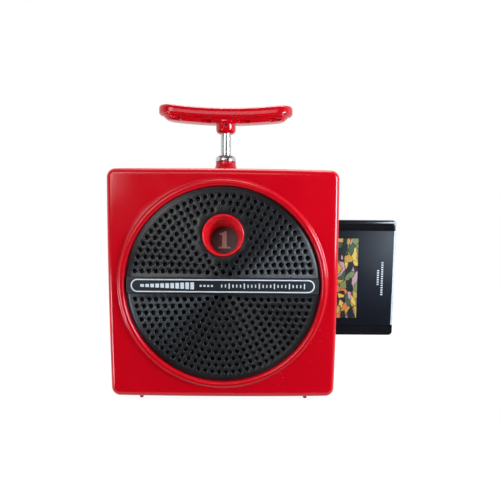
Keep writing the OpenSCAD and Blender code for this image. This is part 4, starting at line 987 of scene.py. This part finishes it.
def label_parts(x0, x1, z0, z1):
    """The front label with its patch and rules, and the white strip round the cartridge's end."""
    face = cover_lo.y + 0.2
    seat = cover_lo.y + LABEL_DEEP

    def printed(left, right, low, high):
        return block((CX + left, face - 0.03, UNDER + low), (CX + right, face + 0.05, UNDER + high), 0.01, 1)

    label = block((x0 + 8.2, face, z0), (x1 + LABEL_END, seat, z1), 0.12, 2)
    dress(label, LABEL, "cartridge", 30, ("cart_label",)).name = "front_label"
    dress(printed(20, 116.8, 61.4, 131.5), ART, "cartridge", 30).name = "label_art"
    rules = [printed(x - 0.9, x + 0.9, z, z + 1.1) for x, low, high in ((135.0, 91, 105), (138.6, 82, 112))
             for z in range(low, high, 2)]
    dress(join("label_rules", rules), PAPER, "cartridge", 30)
    front, outer = cover_lo.y + 0.1, x1 - 0.15
    end = [block((x1 + LABEL_END + 0.1, front, z0), (outer, seat, z1), 0.12, 2),
           block((x1 - 0.45, front, z0), (outer, base_hi.y - 0.6, z1), 0.12, 2)]
    dress(join("end_strip", end), PAPER, "cartridge", 30, ("cart_end_label",))


# ---------- controls on the left side ----------

MARK_STEP = 3.6            # from one mark of a knob's scale to the next
SKIN = LEFT - 0.1          # where a knob's wide head ends
KNOBS = (("volume_knob", "volume", -1), ("tone_knob", "tone", 1))      # with the side that its scale is on


def knob(node, body):
    """A sliding knob with five ribs and a white line."""
    lo, hi, (_, y, z) = span(node)
    parts = [block((lo.x + 0.6, lo.y, lo.z), (SKIN, hi.y, hi.z), 0.9),
             block((SKIN - 1, y - 1.1, z - 2.5), (hi.x, y + 1.1, z + 2.5), 0.3)]
    parts += [block((lo.x, lo.y + 0.3, z + i - 0.45), (lo.x + 1.2, hi.y - 0.3, z + i + 0.45), 0.3)
              for i in (-4, -2, 0, 2, 4)]
    dress(join(node + "_cap", parts), BLACK, body, 30, (node,))
    line = block((lo.x, lo.y + 0.6, z - 0.25), (lo.x + 0.3, hi.y - 0.6, z + 0.25), 0.05, 1)
    dress(line, PAPER, body, 30).name = node + "_line"


def control_parts():
    lo, hi, _ = span("control_panel")
    lip = 2.5
    out = LEFT + 0.4
    plate = block((out, lo.y + lip, lo.z + lip), (hi.x, hi.y - lip, hi.z - lip), 0.6)
    scales = []
    for node, _, side in KNOBS:
        _, y, z = span(node)[2]
        carve(plate, [block((out - 1, y - 1.6, z - 22), (hi.x + 1, y + 1.6, z + 22), 0.4)])
        for i in range(-5, 6):
            near = y + side * 4.6
            far = near + side * (3.2 if i % 5 == 0 else 1.8)
            mark_z = z + i * MARK_STEP
            scales.append(block((out - 0.06, min(near, far), mark_z - 0.2),
                                (out + 0.1, max(near, far), mark_z + 0.2), 0.02, 1))
    dress(plate, BLACK, "case", 30, ("control_panel",)).name = "control_plate"
    dress(join("control_scale", scales), PAPER, "case", 30)
    for node, body, _ in KNOBS:
        knob(node, body)


def jacks():
    for node, bore in (("power_jack", 2.8), ("earphone_jack", 1.75)):
        lo, hi, (_, y, z) = span(node)
        at = (lo.x, y, z)
        length = hi.x - lo.x
        flange = (hi.z - lo.z) / 2
        ring = [(bore, 0.25), (bore + 0.25, 0), (flange - 0.5, 0), (flange - 0.1, 0.25), (flange, 1.0),
                (4.0, 1.1), (4.0, length), (bore + 0.1, length)]
        nut = [(4.05, 4.0), (5.4, 4.0), (5.4, 5.4), (4.05, 5.4)]
        parts = [turned("ring", ring, at, "X", 48),
                 cylinder(bore + 0.5, length - 1.5, length - 0.1, at, "X", 32),
                 turned("nut", nut, at, "X", 6)]
        if node == "power_jack":
            parts.append(turned("pin", [(0, 2.2), (0.8, 2.2), (1.0, 2.6), (1.0, length - 1), (0, length - 1)],
                                at, "X", 24))
        dress(join(node + "_socket", parts), BLACK, "case", 35, (node,))


# ---------- inside pieces that keep their CAD shape ----------

INSIDE = (
    (STEEL, "speaker_frame speaker_screws chassis_plate motor flywheel capstan_shaft head_carriage"),
    (STEEL, "tape_head guide_posts program_shaft mechanism_bracket plunger_bracket stop_washer pawl_arm"),
    (STEEL, "slide_controls battery_contacts case_screws chassis_screws"),
    (CARD, "speaker_baffle speaker_cone"), (MAGNET, "speaker_magnet"),
    (BLACK, "cartridge_guide handle_pin battery_box"),
    (BRASS, "motor_pulley capstan_bearing"), (RUBBER, "drive_belt pinch_roller"),
    (WHITE, "ratchet_wheel step_cam plunger_bushing tape_reel"), (BOARD, "circuit_board"),
    (PARTS, "board_parts"), (CELL, "battery_cells"), (TAPE, "tape_pack"), (FELT, "pressure_pads"))


def finish_inside():
    for material, nodes in INSIDE:
        for node in nodes.split():
            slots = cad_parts[node].data.materials
            slots.clear()
            slots.append(material)


# ---------- camera, floor and light ----------

IMAGE = 500
FOCAL_PX = 511.4
CENTRE_PX = (250.8, 297.9)
SENSOR = 36.0
CAMERA_AT = (17.26, -410.4, 133.5)      # from the front face's lower middle
CAMERA_TURN = (-0.1216, -0.0086, -0.0116)
COOL = (0.74, 0.87, 1.0)


def place_camera():
    data = bpy.data.cameras.new("camera")
    data.sensor_width = SENSOR
    data.sensor_fit = "HORIZONTAL"
    data.lens = FOCAL_PX / IMAGE * SENSOR
    data.shift_x = (IMAGE / 2 - CENTRE_PX[0]) / IMAGE
    data.shift_y = (CENTRE_PX[1] - IMAGE / 2) / IMAGE
    data.clip_start = 0.01
    data.clip_end = 50
    right, forward, up = Euler(CAMERA_TURN, "XYZ").to_matrix().col
    basis = Matrix((right, up, -forward)).transposed()
    at = (Vector((CX, FRONT, UNDER)) + Vector(CAMERA_AT)) * MM
    obj = add_object("camera", data)
    obj.matrix_world = Matrix.Translation(at) @ basis.to_4x4()
    bpy.context.scene.camera = obj


def area_light(name, at, target, size, power, colour=(1, 1, 1)):
    data = bpy.data.lights.new(name, "AREA")
    data.shape = "RECTANGLE"
    data.size, data.size_y = size[0] * MM, size[1] * MM
    data.energy = power
    data.color = colour
    aim = Vector(target) - Vector(at)
    add_object(name, data).matrix_world = (
        Matrix.Translation(Vector(at) * MM) @ aim.to_track_quat("-Z", "Y").to_matrix().to_4x4())


def world_light():
    """White to camera and transmission rays; for the rest bright behind and beside, and dim in front."""
    world = bpy.data.worlds.new("studio")
    bpy.context.scene.world = world
    n = Nodes(world, clear=True)
    split = n.add("SeparateXYZ", Vector=n.add("TexCoord").outputs["Generated"])
    backwards = n.math("MULTIPLY_ADD", split.outputs["Y"], 0.5, 0.5)
    levels = [(0.0, 0.02), (0.12, 0.03), (0.26, 0.14), (0.40, 0.6), (0.5, 1.1), (0.7, 1.0), (1.0, 1.0)]
    peak = 2.0          # a ramp's colours stop at 1, so its levels are shares of this
    colour = n.ramp(backwards, [(position, [level / peak] * 3) for position, level in levels])
    n.surface("OutputWorld", n.rays("Camera", "Transmission"),
              n.add("Background", Color=colour, Strength=peak), n.add("Background", Color=(1, 1, 1)))


def floor():
    """Pale floor that keeps the object's shadow, nearly white to camera, glossy and transmission rays."""
    far = 4000
    near = FRONT - 12
    white, glow = 0.82, 1.14        # share of the look that takes no shadow, and its brightness
    corners = [(-far, near, 0), (far, near, 0), (far, far, 0), (-far, far, 0)]
    obj = make_object("floor", corners, [(0, 1, 2, 3)])
    n = Nodes("floor", clear=True)
    share = n.math("MULTIPLY", n.rays("Camera", "Transmission", "Glossy"), white)
    n.surface("OutputMaterial", share,
              n.add("BsdfDiffuse", Color=(0.6, 0.6, 0.6)), n.add("Emission", Strength=glow))
    obj.data.materials.append(n.owner)


def light_up():
    middle = (CX, 0, MID_Z)
    area_light("haze_card", (CX - 420, -750, MID_Z + 320), (CX - 60, -50, MID_Z + 30), (320, 400), 2.0)
    area_light("key_right", (CX + 390, FRONT - 220, MID_Z + 110), middle, (140, 200), 2.6, COOL)
    area_light("left_card", (CX - 360, FRONT - 200, MID_Z - 100), middle, (100, 160), 0.8, COOL)
    area_light("front_card", (CX - 50, FRONT - 450, TOP + 170), middle, (300, 100), 0.2)
    area_light("top_soft", (CX + 50, 160, MID_Z + 700), (CX, 20, TOP), (500, 300), 3.2)
    bpy.context.scene.view_settings.view_transform = "Standard"


place_camera()
world_light()
floor()
light_up()
front_shell()
rear_shell()
door_panel()
grille_disc()
name_band()
band_trim()
funnel_cup()
window_lens()
number_disc()
handle()
plunger_parts()
spring()
cartridge()
control_parts()
jacks()
finish_inside()
